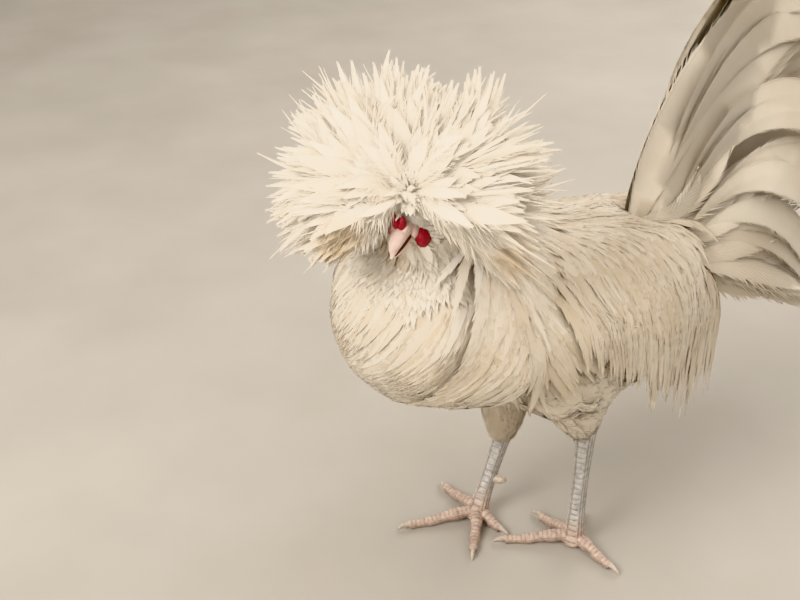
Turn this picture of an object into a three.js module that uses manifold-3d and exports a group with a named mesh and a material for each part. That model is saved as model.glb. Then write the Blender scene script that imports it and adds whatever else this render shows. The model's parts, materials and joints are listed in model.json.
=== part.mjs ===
// A white crested cock, life size, standing in a slow step with its head turned to its left.
// Millimetres, +Z up, the bird faces -Y and its left side is +X.
// The forms are worked out with the floor point midway between the balls of the two feet
// as the zero, and the whole bird is then moved so that the origin is the middle of its footprint box.
import * as THREE from "three";
import { mergeVertices } from "three/addons/utils/BufferGeometryUtils.js";
import Module from "manifold-3d";

const wasm = await Module();
wasm.setup();

// Driving dimensions

const ORIGIN_OFFSET = [-7.4, -35.5, 0];       // moves the bird from between its feet to its box centre
const GAP = 0.3;                           // clearance between neighbouring pieces
const TRUNK_WIDTH = 164;                   // across the widest feathers of the breast
const HEAD_CENTRE = [24, -114, 330];
const HEAD_YAW = 38;                       // degrees, turned to the bird's left
const HEAD_PITCH = 24;                     // degrees, bill lowered
const HEAD_LENGTH = 46;                    // bill base to the back of the skull
const HEAD_WIDTH = 33;
const BILL_LENGTH = 20.5;
const EYE_DIAMETER = 10.5;
const CREST_ROOT = [18, -112, 338];
const CREST_CORE = 72;                     // radius where the crest is dense
const CREST_REACH = 92;                    // radius to the tips of its feathers
const SHANK_WIDTH = 12.5;
const TOE_WIDTH = 9.5;
const TAIL_ROOT = [0, 98, 258];
const TAIL_LENGTH = 222;                   // main tail feathers
const PLUME_THICKNESS = 4;

const WHITE = 0xeee6d6;
const SKIN_RED = 0xb3202e;
const HORN = 0xd9c0ae;
const SCALE_SKIN = 0xb9b5b4;
const EYE_COLOUR = 0x7a3a16;

const finish = {
  plumage: { color: WHITE, roughness: 0.85, metalness: 0 },
  redSkin: { color: SKIN_RED, roughness: 0.55, metalness: 0 },
  horn: { color: HORN, roughness: 0.4, metalness: 0 },
  scales: { color: SCALE_SKIN, roughness: 0.6, metalness: 0 },
  eye: { color: EYE_COLOUR, roughness: 0.1, metalness: 0 },
};

const bird = new THREE.Group();
bird.position.set(...ORIGIN_OFFSET);

// Small helpers

const vector = (p) => new THREE.Vector3(...p);
const radians = THREE.MathUtils.degToRad;
const mix = THREE.MathUtils.lerp;
const ramp = THREE.MathUtils.smoothstep;

function toSolid(geometry) {
  const bare = geometry.clone();
  for (const name of Object.keys(bare.attributes)) {
    if (name !== "position") {
      bare.deleteAttribute(name);
    }
  }
  const merged = mergeVertices(bare, 1e-4);
  return new wasm.Manifold(new wasm.Mesh({
    numProp: 3,
    vertProperties: new Float32Array(merged.attributes.position.array),
    triVerts: new Uint32Array(merged.index.array),
  }));
}

function toGeometry(solid) {
  const mesh = solid.getMesh();
  const geometry = new THREE.BufferGeometry();
  geometry.setAttribute("position", new THREE.BufferAttribute(new Float32Array(mesh.vertProperties), 3));
  geometry.setIndex(new THREE.BufferAttribute(new Uint32Array(mesh.triVerts), 1));
  geometry.computeVertexNormals();
  return geometry;
}

function largest(solid) {
  return solid.decompose().reduce((a, b) => (a.volume() > b.volume() ? a : b));
}

const join = (solids) => solids.reduce((a, b) => a.add(b));
const cut = (solid, tools) => largest(tools.reduce((rest, tool) => rest.subtract(tool), solid));

// A closed body from rings of equally many points; pole points close both ends
function skinOfRings(rings, startPole, endPole) {
  const count = rings[0].length;
  const points = [...rings.flat(), startPole, endPole];
  const start = rings.length * count;
  const triangles = [];
  for (let i = 0; i + 1 < rings.length; i += 1) {
    for (let j = 0; j < count; j += 1) {
      const a = i * count + j;
      const b = i * count + ((j + 1) % count);
      triangles.push(a, b, b + count, a, b + count, a + count);
    }
  }
  const last = (rings.length - 1) * count;
  for (let j = 0; j < count; j += 1) {
    const next = (j + 1) % count;
    triangles.push(start, next, j);
    triangles.push(start + 1, last + j, last + next);
  }
  const geometry = new THREE.BufferGeometry();
  const position = points.flatMap((p) => [p.x, p.y, p.z]);
  geometry.setAttribute("position", new THREE.Float32BufferAttribute(position, 3));
  geometry.setIndex(triangles);
  return geometry;
}

// A body along a smooth route. Each station is { at, wide, deep }: half sizes of an oval section,
// wide along the side direction and deep across it. grow swells it all round for a clearance cut.
function loft(stations, options = {}) {
  const { sides = 12, steps = 8, side = [1, 0, 0], power = 2, grow = 0, wave = null } = options;
  const route = new THREE.CatmullRomCurve3(stations.map((s) => vector(s.at)));
  const sizes = new THREE.CatmullRomCurve3(stations.map((s) => vector([s.wide, s.deep, 0])));
  const across = vector(side).normalize();
  const rings = [];
  for (let i = 0; i <= steps; i += 1) {
    const t = i / steps;
    const centre = route.getPoint(t);
    const tangent = route.getTangent(t);
    const u = across.clone().addScaledVector(tangent, -across.dot(tangent)).normalize();
    const v = tangent.clone().cross(u);
    const size = sizes.getPoint(t);
    const ring = [];
    for (let j = 0; j < sides; j += 1) {
      const angle = (2 * Math.PI * j) / sides;
      const c = Math.cos(angle);
      const s = Math.sin(angle);
      const swell = wave ? wave(t, angle) : 1;
      const wide = Math.max(size.x, 0.25) * swell + grow;
      const deep = Math.max(size.y, 0.25) * swell + grow;
      const x = Math.sign(c) * Math.abs(c) ** (2 / power) * wide;
      const y = Math.sign(s) * Math.abs(s) ** (2 / power) * deep;
      ring.push(centre.clone().addScaledVector(u, x).addScaledVector(v, y));
    }
    rings.push(ring);
  }
  const startPole = route.getPoint(0).addScaledVector(route.getTangent(0), -grow - 0.2);
  const endPole = route.getPoint(1).addScaledVector(route.getTangent(1), grow + 0.2);
  return toSolid(skinOfRings(rings, startPole, endPole));
}

// A feather blade on a bowed line from root through bend to tip
function blade(shape) {
  const { root, bend, tip, width, thick = PLUME_THICKNESS, side, steps = 7, sides = 6, blunt = 0.35 } = shape;
  const line = new THREE.QuadraticBezierCurve3(vector(root), vector(bend), vector(tip));
  const stations = [];
  for (let i = 0; i <= steps; i += 1) {
    const t = i / steps;
    const taper = Math.min(1, 0.45 + 1.6 * t) * (1 - (1 - blunt) * ramp(t, 0.55, 1)) * (t > 0.97 ? 0.5 : 1);
    const at = line.getPoint(t).toArray();
    stations.push({ at, wide: (width / 2) * taper, deep: (thick / 2) * mix(1, 0.45, t) });
  }
  return loft(stations, { sides, steps, side });
}

function ball(centre, radii, detail = [16, 12]) {
  const geometry = new THREE.SphereGeometry(1, ...detail);
  geometry.scale(...radii);
  geometry.rotateX(Math.PI / 2);
  geometry.translate(...centre);
  return toSolid(geometry);
}

// The part below the floor, taken off whatever stands on it
function belowFloor() {
  const depth = 60;
  const geometry = new THREE.BoxGeometry(600, 600, depth);
  geometry.translate(0, 0, -depth / 2);
  return toSolid(geometry);
}

function place(name, solid, look) {
  const mesh = new THREE.Mesh(toGeometry(solid), new THREE.MeshStandardMaterial(look));
  mesh.name = name;
  bird.add(mesh);
}

// Trunk: breast, belly, back and rump as one feathered form

function trunkForm(grow = 0) {
  const half = TRUNK_WIDTH / 2;
  const stations = [
    { at: [0, -164, 251], wide: 0.16 * half, deep: 14 },
    { at: [0, -152, 249], wide: 0.56 * half, deep: 45 },
    { at: [0, -127, 244], wide: 0.88 * half, deep: 69 },
    { at: [0, -90, 235], wide: half, deep: 78 },
    { at: [0, -42, 220], wide: 0.98 * half, deep: 75 },
    { at: [0, 6, 206], wide: 0.93 * half, deep: 70 },
    { at: [0, 50, 200], wide: 0.84 * half, deep: 65 },
    { at: [0, 90, 203], wide: 0.7 * half, deep: 59 },
    { at: [0, 120, 210], wide: 0.5 * half, deep: 47 },
    { at: [0, 143, 217], wide: 0.27 * half, deep: 29 },
    { at: [0, 153, 221], wide: 0.09 * half, deep: 11 },
  ];
  return loft(stations, { sides: 12, steps: 9, power: 2.1, grow });
}

// Neck: the hackle cape, from the back of the head out over the shoulders, with a pointed hem

function neckForm(grow = 0) {
  const stations = [
    { at: [18, -100, 318], wide: 22, deep: 24 },
    { at: [13, -95, 304], wide: 38, deep: 38 },
    { at: [8, -88, 286], wide: 58, deep: 55 },
    { at: [4, -80, 264], wide: 76, deep: 70 },
    { at: [1, -72, 240], wide: 88, deep: 79 },
    { at: [0, -67, 218], wide: 91, deep: 82 },
    { at: [0, -64, 204], wide: 84, deep: 77 },
  ];
  const points = 10;
  const hem = (t, angle) => 1 + 0.035 * ramp(t, 0.5, 1) * Math.cos(points * angle);
  return loft(stations, { sides: 20, steps: 6, grow, wave: hem });
}

// Saddle: long narrow feathers over the rump, hanging down both sides in points

function saddleForm(grow = 0) {
  const rows = 7;
  const reach = [18, 141];
  const lift = 6;
  const inset = 5;
  const arc = 6;
  const rings = [];
  for (let i = 0; i < rows; i += 1) {
    const t = i / (rows - 1);
    const y = mix(reach[0], reach[1], t);
    const wide = mix(78, 40, ramp(t, 0.12, 1.12));
    const middle = mix(206, 218, t);
    const top = mix(272, 262, t);
    const hem = mix(178, 132, ramp(t, 0, 0.6)) + 26 * ramp(t, 0.75, 1) + (i % 2 ? -7 : 5);
    const outline = (offset) => {
      const line = [];
      for (let j = 0; j <= arc; j += 1) {
        const angle = mix(-Math.PI / 2, Math.PI / 2, j / arc);
        const x = (wide + offset) * Math.sin(angle);
        const z = middle + (top + offset - middle) * Math.cos(angle);
        line.push([x, y, z]);
      }
      const foot = [wide + offset * 0.7 - 3, y + 6, hem];
      return [[-foot[0], foot[1], foot[2]], ...line, foot];
    };
    const outer = outline(lift + grow);
    const inner = outline(-inset - grow).reverse();
    if (grow) {
      outer[0][2] -= grow * 3;
      outer[outer.length - 1][2] -= grow * 3;
      inner[0][2] -= grow * 3;
      inner[inner.length - 1][2] -= grow * 3;
    }
    rings.push([...outer, ...inner].map(vector));
  }
  const shift = (ring, distance) => ring.map((p) => p.clone().add(vector([0, distance, 0])));
  rings[0] = shift(rings[0], -grow);
  rings[rows - 1] = shift(rings[rows - 1], grow);
  return toSolid(shellOfRings(rings));
}

// A closed shell from C-shaped rings, with both ends filled strip by strip
function shellOfRings(rings) {
  const count = rings[0].length;
  const points = rings.flat();
  const triangles = [];
  for (let i = 0; i + 1 < rings.length; i += 1) {
    for (let j = 0; j < count; j += 1) {
      const a = i * count + j;
      const b = i * count + ((j + 1) % count);
      triangles.push(a, b, b + count, a, b + count, a + count);
    }
  }
  const last = (rings.length - 1) * count;
  for (let j = 0; j + 1 < count / 2; j += 1) {
    const a = j;
    const b = j + 1;
    const c = count - 1 - j;
    const d = count - 2 - j;
    triangles.push(a, d, b, a, c, d);
    triangles.push(last + a, last + b, last + d, last + a, last + d, last + c);
  }
  const geometry = new THREE.BufferGeometry();
  geometry.setAttribute("position", new THREE.Float32BufferAttribute(points.flatMap((p) => p.toArray()), 3));
  geometry.setIndex(triangles);
  return geometry;
}

// Folded wing: a flat oval form along the flank, its tip under the saddle

function wingForm(hand, grow = 0) {
  const stations = [
    { at: [hand * 70, -84, 226], wide: 16, deep: 6 },
    { at: [hand * 79, -62, 216], wide: 36, deep: 10 },
    { at: [hand * 80, -22, 204], wide: 44, deep: 11 },
    { at: [hand * 76, 20, 197], wide: 40, deep: 9 },
    { at: [hand * 69, 58, 190], wide: 29, deep: 7 },
    { at: [hand * 60, 94, 180], wide: 15, deep: 4 },
    { at: [hand * 56, 108, 175], wide: 5, deep: 2 },
  ];
  return loft(stations, { sides: 8, steps: 6, side: [0, 0.25, 1], grow });
}

// Head, in its own frame: forward -Y, up +Z, then turned and lowered

const headTurn = new THREE.Matrix4()
  .makeTranslation(...HEAD_CENTRE)
  .multiply(new THREE.Matrix4().makeRotationZ(radians(HEAD_YAW)))
  .multiply(new THREE.Matrix4().makeRotationX(radians(HEAD_PITCH)));
const onHead = (solid) => solid.transform(headTurn.toArray());
const headPoint = (p) => vector(p).applyMatrix4(headTurn).toArray();

function skullForm(grow = 0) {
  const half = HEAD_WIDTH / 2;
  const front = -HEAD_LENGTH / 2;
  const stations = [
    { at: [0, front, -3], wide: 5.5, deep: 6 },
    { at: [0, front + 5, -1.5], wide: 9, deep: 10 },
    { at: [0, front + 13, 0], wide: 0.84 * half, deep: 14 },
    { at: [0, front + 24, 1.5], wide: half, deep: 17 },
    { at: [0, front + 35, 1], wide: 0.9 * half, deep: 16 },
    { at: [0, front + 44, -1], wide: 0.5 * half, deep: 9 },
  ];
  return onHead(loft(stations, { sides: 10, steps: 5, grow }));
}

function billForm(upper, grow = 0) {
  const front = -HEAD_LENGTH / 2 - GAP - 0.3;
  const tip = front - BILL_LENGTH;
  const stations = upper
    ? [
      { at: [0, front, 1.4], wide: 6.2, deep: 5.2 },
      { at: [0, front - 7, 1.6], wide: 5.2, deep: 4.6 },
      { at: [0, front - 14, 0.4], wide: 3.6, deep: 3.4 },
      { at: [0, tip + 3, -2.4], wide: 1.9, deep: 2 },
      { at: [0, tip, -4.8], wide: 0.6, deep: 0.7 },
    ]
    : [
      { at: [0, front, -6.6], wide: 5.2, deep: 2.4 },
      { at: [0, front - 8, -6], wide: 4.2, deep: 2.2 },
      { at: [0, front - 14, -5.6], wide: 2.8, deep: 1.6 },
      { at: [0, front - 18, -5.6], wide: 1, deep: 0.8 },
    ];
  return onHead(loft(stations, { sides: 10, steps: 6, grow }));
}

function eyeForm(hand, grow = 0) {
  const radius = EYE_DIAMETER / 2 + grow;
  return onHead(ball([hand * 12.2, -5.5, 4], [radius * 0.72, radius, radius], [10, 6]));
}

// A low two-pointed comb on the bill base
function combForm(grow = 0) {
  const horn = (hand) => loft([
    { at: [hand * 1.2, -22.5, 4.5], wide: 2.4, deep: 3 },
    { at: [hand * 1.7, -22.5, 8.5], wide: 2.3, deep: 2.8 },
    { at: [hand * 2.9, -21.8, 13], wide: 1.4, deep: 1.8 },
    { at: [hand * 3.6, -21.2, 15.5], wide: 0.4, deep: 0.5 },
  ], { sides: 6, steps: 4, grow });
  return onHead(join([horn(1), horn(-1)]));
}

function wattleForm(hand, grow = 0) {
  const stations = [
    { at: [hand * 7.5, -17.5, -4.5], wide: 2.4, deep: 3 },
    { at: [hand * 9.5, -18, -7.5], wide: 4.2, deep: 5.4 },
    { at: [hand * 10.2, -18, -12], wide: 4, deep: 5.6 },
    { at: [hand * 9.8, -17.6, -16], wide: 1.4, deep: 2.4 },
  ];
  return onHead(loft(stations, { sides: 8, steps: 6, grow }));
}

// Beard: loose feathers under the bill and on both cheeks
function beardForm(grow = 0) {
  const lobe = (at, radii) => ball(at, radii.map((r) => r + grow), [8, 6]);
  return join([
    lobe(headPoint([0, -8, -27]), [27, 22, 24]),
    lobe(headPoint([17, -3, -17]), [14, 15, 17]),
    lobe(headPoint([-17, -3, -17]), [14, 15, 17]),
  ]);
}

// Crest: a dense dome with long loose feathers standing out of it in rows, open over the face

function crestCore(grow = 0) {
  const root = vector(CREST_ROOT);
  const face = vector(headPoint([0, -34, -16])).sub(root).normalize();
  const geometry = new THREE.SphereGeometry(1, 12, 8);
  geometry.rotateX(Math.PI / 2);
  const position = geometry.attributes.position;
  const direction = new THREE.Vector3();
  for (let i = 0; i < position.count; i += 1) {
    direction.fromBufferAttribute(position, i).normalize();
    const facing = ramp(direction.dot(face), 0.12, 0.72);
    const below = ramp(-direction.z, 0.15, 0.85);
    const radius = CREST_CORE * (1 - 0.74 * Math.max(facing, 0.72 * below)) + grow;
    position.setXYZ(i, ...direction.multiplyScalar(radius).add(root).toArray());
  }
  return toSolid(geometry);
}

const CREST_ROWS = [
  // degrees from straight up, number of feathers, reach as a share of CREST_REACH
  { tilt: 16, count: 3, reach: 0.93 },
  { tilt: 44, count: 6, reach: 0.97 },
  { tilt: 72, count: 8, reach: 1.02 },
  { tilt: 98, count: 10, reach: 1.05 },
];

function crestForm(grow = 0) {
  const root = vector(CREST_ROOT);
  const face = vector(headPoint([0, -34, -16])).sub(root).normalize();
  const pieces = [crestCore(grow)];
  CREST_ROWS.forEach((row, index) => {
    for (let i = 0; i < row.count; i += 1) {
      const around = (2 * Math.PI * (i + 0.5 * (index % 2))) / row.count;
      const tilt = radians(row.tilt + 7 * Math.sin(3.1 * i + index));
      const out = vector([
        Math.sin(tilt) * Math.cos(around),
        Math.sin(tilt) * Math.sin(around),
        Math.cos(tilt),
      ]);
      if (out.dot(face) > 0.42) {
        continue;
      }
      const reach = CREST_REACH * row.reach * (1 + 0.07 * Math.sin(5.3 * i + 2 * index));
      const swirl = new THREE.Vector3(0, 0, 1).cross(out).multiplyScalar(9 * Math.sin(2.3 * i + index));
      const tip = out.clone().multiplyScalar(reach).add(root);
      tip.z -= 10 * Math.sin(tilt);
      const bend = out.clone().multiplyScalar(0.66 * reach).add(root).add(swirl);
      const side = Math.abs(out.z) > 0.9 ? [0, 1, 0] : new THREE.Vector3(0, 0, 1).cross(out).toArray();
      const shape = { root: CREST_ROOT, bend: bend.toArray(), tip: tip.toArray(), side, sides: 4, steps: 2 };
      pieces.push(blade({ ...shape, width: 36 + 2 * grow, thick: 15 + 2 * grow, blunt: 0.22 }));
    }
  });
  return join(pieces);
}

// Tail: a fan of broad main feathers in two sheets, and pairs of curved sickle feathers

function tailFanForm(grow = 0) {
  const pairs = 4;
  const pieces = [];
  for (const hand of [-1, 1]) {
    for (let i = 0; i < pairs; i += 1) {
      const t = i / (pairs - 1);
      const rise = radians(mix(55, 31, t));
      const spread = hand * mix(5, 21, t);
      const reach = TAIL_LENGTH * mix(1, 0.82, t);
      const [x, y, z] = TAIL_ROOT;
      const bow = rise + 0.32;
      const tip = [x + spread * 1.5, y + reach * Math.cos(rise), z + reach * Math.sin(rise)];
      const bend = [x + spread, y + 0.58 * reach * Math.cos(bow), z + 0.58 * reach * Math.sin(bow)];
      const root = [x + spread * 0.4, y - 12 * (1 - t), z - 6 * t];
      const side = [0, Math.sin(rise), -Math.cos(rise)];
      const shape = { root, bend, tip, side, blunt: 0.6, steps: 3 };
      pieces.push(blade({ ...shape, width: 54 + 2 * grow, thick: 7 + 2 * grow }));
    }
  }
  const [x, y, z] = TAIL_ROOT;
  const hub = loft([
    { at: [x, y - 14, z - 20], wide: 16, deep: 28 },
    { at: [x, y + 8, z + 16], wide: 19, deep: 34 },
    { at: [x, y + 34, z + 54], wide: 15, deep: 34 },
    { at: [x, y + 56, z + 84], wide: 6, deep: 20 },
  ], { sides: 10, steps: 4, grow });
  return join([...pieces, hub]);
}

const SICKLES = [
  // root, bend and tip beside the tail, with x for the left side; width of the feather
  { name: "sickle_1", root: [9, 100, 292], bend: [26, 156, 494], tip: [44, 268, 378], width: 30 },
  { name: "sickle_2", root: [17, 108, 276], bend: [42, 152, 424], tip: [56, 254, 304], width: 31 },
  { name: "sickle_3", root: [23, 116, 262], bend: [52, 170, 364], tip: [62, 242, 254], width: 30 },
  { name: "sickle_4", root: [27, 122, 250], bend: [58, 182, 308], tip: [64, 226, 204], width: 27 },
];

function sickleForm(plan, hand, grow = 0) {
  const flip = (p) => [hand * p[0], p[1], p[2]];
  return blade({
    root: flip(plan.root),
    bend: flip(plan.bend),
    tip: flip(plan.tip),
    width: plan.width + 2 * grow,
    thick: PLUME_THICKNESS + 1 + 2 * grow,
    side: [hand * 0.15, 0.75, 0.65],
    steps: 6,
    sides: 6,
    blunt: 0.25,
  });
}

// Legs. Each leg is a feathered thigh, a scaled shank, a spur and four toes with claws.

const LEGS = {
  left: {
    hand: 1,
    hip: [44, 4, 168],
    hock: [39, 24, 104],
    foot: [39, 21, 7],
    feathersEnd: 0.0,
    thighWidth: 34,
    toes: [
      { name: "toe_1", turn: 218, length: 34 },
      { name: "toe_2", turn: -76, length: 46 },
      { name: "toe_3", turn: -27, length: 66 },
      { name: "toe_4", turn: 100, length: 50 },
    ],
  },
  right: {
    hand: -1,
    hip: [-42, 6, 166],
    hock: [-41, 10, 92],
    foot: [-24, -32, 7],
    feathersEnd: 0.36,
    thighWidth: 33,
    toes: [
      { name: "toe_1", turn: 256, length: 36 },
      { name: "toe_2", turn: -54, length: 54 },
      { name: "toe_3", turn: 14, length: 70 },
      { name: "toe_4", turn: 80, length: 52 },
    ],
  },
};

const along = (a, b, t) => a.map((value, k) => mix(value, b[k], t));

function thighForm(leg, grow = 0) {
  const { hip, hock, foot, thighWidth, feathersEnd } = leg;
  const end = along(hock, foot, feathersEnd);
  const stations = [
    { at: hip, wide: thighWidth, deep: thighWidth + 4 },
    { at: along(hip, end, 0.4), wide: 0.86 * thighWidth, deep: thighWidth },
    { at: along(hip, end, 0.72), wide: 0.6 * thighWidth, deep: 0.68 * thighWidth },
    { at: along(hip, end, 0.93), wide: 0.34 * thighWidth, deep: 0.38 * thighWidth },
    { at: end, wide: 0.2 * thighWidth, deep: 0.22 * thighWidth },
  ];
  return loft(stations, { sides: 10, steps: 5, grow });
}

function shankForm(leg, grow = 0) {
  const half = SHANK_WIDTH / 2;
  const { hock, foot } = leg;
  const top = along(hock, foot, leg.feathersEnd - 0.05);
  const pad = [foot[0], foot[1], 5];
  const stations = [
    { at: top, wide: half * 0.95, deep: half * 1.1 },
    { at: along(top, foot, 0.25), wide: half * 0.86, deep: half * 1.02 },
    { at: along(top, foot, 0.6), wide: half * 0.84, deep: half * 0.98 },
    { at: along(top, foot, 0.88), wide: half * 1.06, deep: half * 1.1 },
    { at: pad, wide: half * 1.3, deep: half * 1.2 },
  ];
  const bone = loft(stations, { sides: 8, steps: 5, grow });
  const sole = ball([foot[0], foot[1], 4.5], [10.5 + grow, 10.5 + grow, 7 + grow], [8, 5]);
  return bone.add(sole);
}

function spurForm(leg, grow = 0) {
  const { hand, hock, foot } = leg;
  const start = along(hock, foot, 0.7);
  const [x, y, z] = start;
  return loft([
    { at: [x, y + 2, z], wide: 4, deep: 4 },
    { at: [x - hand * 5, y + 6, z + 0.5], wide: 3.9, deep: 3.9 },
    { at: [x - hand * 9, y + 9.5, z + 1], wide: 3.3, deep: 3.3 },
    { at: [x - hand * 10.5, y + 10.8, z + 1.2], wide: 1.4, deep: 1.4 },
  ], { sides: 6, steps: 4, grow });
}

// A toe's pads swell between its joints; turn is from straight ahead, outward being positive
function toeLine(leg, toe) {
  const turn = radians(toe.turn) * leg.hand;
  const ahead = [Math.sin(turn), -Math.cos(turn)];
  return (distance, height) => [leg.foot[0] + ahead[0] * distance, leg.foot[1] + ahead[1] * distance, height];
}

function toeForm(leg, toe, grow = 0) {
  const point = toeLine(leg, toe);
  const half = TOE_WIDTH / 2;
  const reach = toe.length - 11;
  const joints = 3;
  const stations = [];
  const parts = 4;
  for (let i = 0; i <= parts; i += 1) {
    const t = i / parts;
    const swell = 1 + 0.09 * Math.cos(2 * Math.PI * joints * t);
    const wide = half * mix(1.1, 0.66, t) * swell;
    const height = mix(6.2, 3, ramp(t, 0, 0.8)) + 1.6 * Math.sin(Math.PI * Math.min(1, t * 1.4));
    stations.push({ at: point(mix(3, reach, t), height), wide, deep: wide * 1.02 });
  }
  const turn = radians(toe.turn) * leg.hand;
  const side = [Math.cos(turn), Math.sin(turn), 0];
  return loft(stations, { sides: 6, steps: parts, side, grow });
}

function clawForm(leg, toe, grow = 0) {
  const point = toeLine(leg, toe);
  const turn = radians(toe.turn) * leg.hand;
  const side = [Math.cos(turn), Math.sin(turn), 0];
  const start = toe.length - 13;
  return loft([
    { at: point(start, 3.6), wide: 2, deep: 2.3 },
    { at: point(start + 6, 4.3), wide: 1.8, deep: 2.1 },
    { at: point(start + 10, 2.9), wide: 1.2, deep: 1.4 },
    { at: point(start + 13, 0.9), wide: 0.4, deep: 0.5 },
  ], { sides: 6, steps: 3, side, grow });
}

// Assembly: each piece gives way, by the clearance, to the floor and to all the pieces before it

const rooms = [belowFloor()];

function add(name, look, form) {
  place(name, cut(form(0), rooms), look);
  rooms.push(form(GAP));
}

const hands = [["left", 1], ["right", -1]];

add("comb", finish.redSkin, combForm);
add("bill_upper", finish.horn, (grow) => billForm(true, grow));
add("bill_lower", finish.horn, (grow) => billForm(false, grow));
for (const [name, hand] of hands) {
  add(`eye_${name}`, finish.eye, (grow) => eyeForm(hand, grow));
  add(`wattle_${name}`, finish.redSkin, (grow) => wattleForm(hand, grow));
}
add("head", finish.plumage, skullForm);
add("crest", finish.plumage, crestForm);
add("beard", finish.plumage, beardForm);
add("neck", finish.plumage, neckForm);
for (const plan of SICKLES) {
  for (const [name, hand] of hands) {
    add(`${plan.name}_${name}`, finish.plumage, (grow) => sickleForm(plan, hand, grow));
  }
}
add("tail_fan", finish.plumage, tailFanForm);
add("saddle", finish.plumage, saddleForm);
for (const [name, hand] of hands) {
  add(`wing_${name}`, finish.plumage, (grow) => wingForm(hand, grow));
}
for (const [name] of hands) {
  const leg = LEGS[name];
  for (const toe of leg.toes) {
    add(`claw_${toe.name.slice(-1)}_${name}`, finish.horn, (grow) => clawForm(leg, toe, grow));
  }
  add(`shank_${name}`, finish.scales, (grow) => shankForm(leg, grow));
  for (const toe of leg.toes) {
    add(`${toe.name}_${name}`, finish.scales, (grow) => toeForm(leg, toe, grow));
  }
  add(`spur_${name}`, finish.horn, (grow) => spurForm(leg, grow));
  add(`thigh_${name}`, finish.plumage, (grow) => thighForm(leg, grow));
}
add("trunk", finish.plumage, trunkForm);

export default bird;
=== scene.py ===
"""A white crested cock, life size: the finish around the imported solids.

Shapes are worked out in millimetres with the floor point between the bird's feet as the zero,
facing -Y with its left side at +X, and moved into the frame, in metres, when a piece is made.
"""
import json
import math

import bmesh
import bpy
import numpy as np
from mathutils import Matrix, Vector
from mathutils.bvhtree import BVHTree

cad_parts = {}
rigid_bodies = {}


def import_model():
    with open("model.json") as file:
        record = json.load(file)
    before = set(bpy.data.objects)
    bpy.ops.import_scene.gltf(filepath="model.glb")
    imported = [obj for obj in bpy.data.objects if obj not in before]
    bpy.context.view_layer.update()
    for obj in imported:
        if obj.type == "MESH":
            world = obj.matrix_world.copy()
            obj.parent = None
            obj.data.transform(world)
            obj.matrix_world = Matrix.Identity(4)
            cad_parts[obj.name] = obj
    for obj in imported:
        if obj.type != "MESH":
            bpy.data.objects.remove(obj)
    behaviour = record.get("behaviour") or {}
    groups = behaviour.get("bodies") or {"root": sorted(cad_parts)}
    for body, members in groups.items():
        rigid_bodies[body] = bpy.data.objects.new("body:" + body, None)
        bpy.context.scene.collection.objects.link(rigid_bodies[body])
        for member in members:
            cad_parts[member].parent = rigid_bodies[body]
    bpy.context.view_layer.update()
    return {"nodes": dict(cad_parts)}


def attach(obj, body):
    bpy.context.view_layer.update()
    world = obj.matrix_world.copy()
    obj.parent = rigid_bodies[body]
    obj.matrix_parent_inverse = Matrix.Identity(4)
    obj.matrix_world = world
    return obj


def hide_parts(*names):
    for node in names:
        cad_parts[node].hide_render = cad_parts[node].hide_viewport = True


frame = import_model()
rng = np.random.default_rng(20)    # each coat starts it afresh

# Plan of the bird, in millimetres

MM = 0.001
SHIFT = np.array([-7.4, -35.5, 0.0])
HEAD_CENTRE = np.array([24.0, -114.0, 330.0])
HEAD_YAW = 38.0
HEAD_PITCH = 24.0
HEAD_LENGTH = 46.0
BILL_LENGTH = 20.5
CREST_ROOT = np.array([18.0, -112.0, 338.0])
NECK_ROOT = np.array([10.0, -78.0, 300.0])
TAIL_ROOT = np.array([0.0, 98.0, 258.0])
TAIL_LENGTH = 222.0
PATCH = 0.003                      # size of a feather's patch on the skin's unwrap
LEGS = {
    "left": {
        "hand": 1, "hock": (39, 24, 104), "foot": (39, 21, 7), "bare_from": 0.0,
        "toes": ((218, 34), (-76, 46), (-27, 66), (100, 50)),
    },
    "right": {
        "hand": -1, "hock": (-41, 10, 92), "foot": (-24, -32, 7), "bare_from": 0.36,
        "toes": ((256, 36), (-54, 54), (14, 70), (80, 52)),
    },
}

# The photograph's camera

CAMERA_AT = np.array([564.0, -402.0, 620.0])
HEADING = 27.0                     # the bird's heading, turned from the picture plane
TILT = 30.5
ROLL = -0.9
LENS = 48.6
SENSOR = 36.0


# Number helpers

def unit(v):
    return v / np.maximum(np.linalg.norm(v, axis=-1, keepdims=True), 1e-9)


def ramp(x, low, high):
    t = np.clip((np.asarray(x, float) - low) / (high - low), 0, 1)
    return t * t * (3 - 2 * t)


def mix(a, b, t):
    return a + (b - a) * t


def turn(axis, degrees):
    return np.array(Matrix.Rotation(math.radians(degrees), 3, axis))


HEAD_TURN = turn("Z", HEAD_YAW) @ turn("X", HEAD_PITCH)


def on_head(points):
    """From the head's own frame, forward -Y, to the bird's."""
    return np.asarray(points, float) @ HEAD_TURN.T + HEAD_CENTRE


def in_head(points):
    return (points - HEAD_CENTRE) @ HEAD_TURN


def distance(points, centre):
    return np.linalg.norm(points - centre, axis=1)


FACE_WAY = unit(on_head([0, -34, -16]) - CREST_ROOT)
CREST_AXIS = unit(np.array([0.65, -0.47, 0.60]))
CREST_DOWN = unit(FACE_WAY - CREST_AXIS * (FACE_WAY @ CREST_AXIS))
CREST_SIDE = np.cross(CREST_AXIS, CREST_DOWN)
CREST_KNOB = np.array([38.0, -129.0, 347.0])
CREST_OUTLINE = (                  # how far the crest reaches around its middle, from straight down
    (0, 20, 41, 67, 91, 115, 128, 145, 160, 180, 195, 208, 229, 270, 294, 316, 360),
    (62, 66, 84, 92, 88, 76, 86, 69, 63, 61, 65, 71, 80, 78, 74, 58, 62),
)


# Mesh helpers

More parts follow.
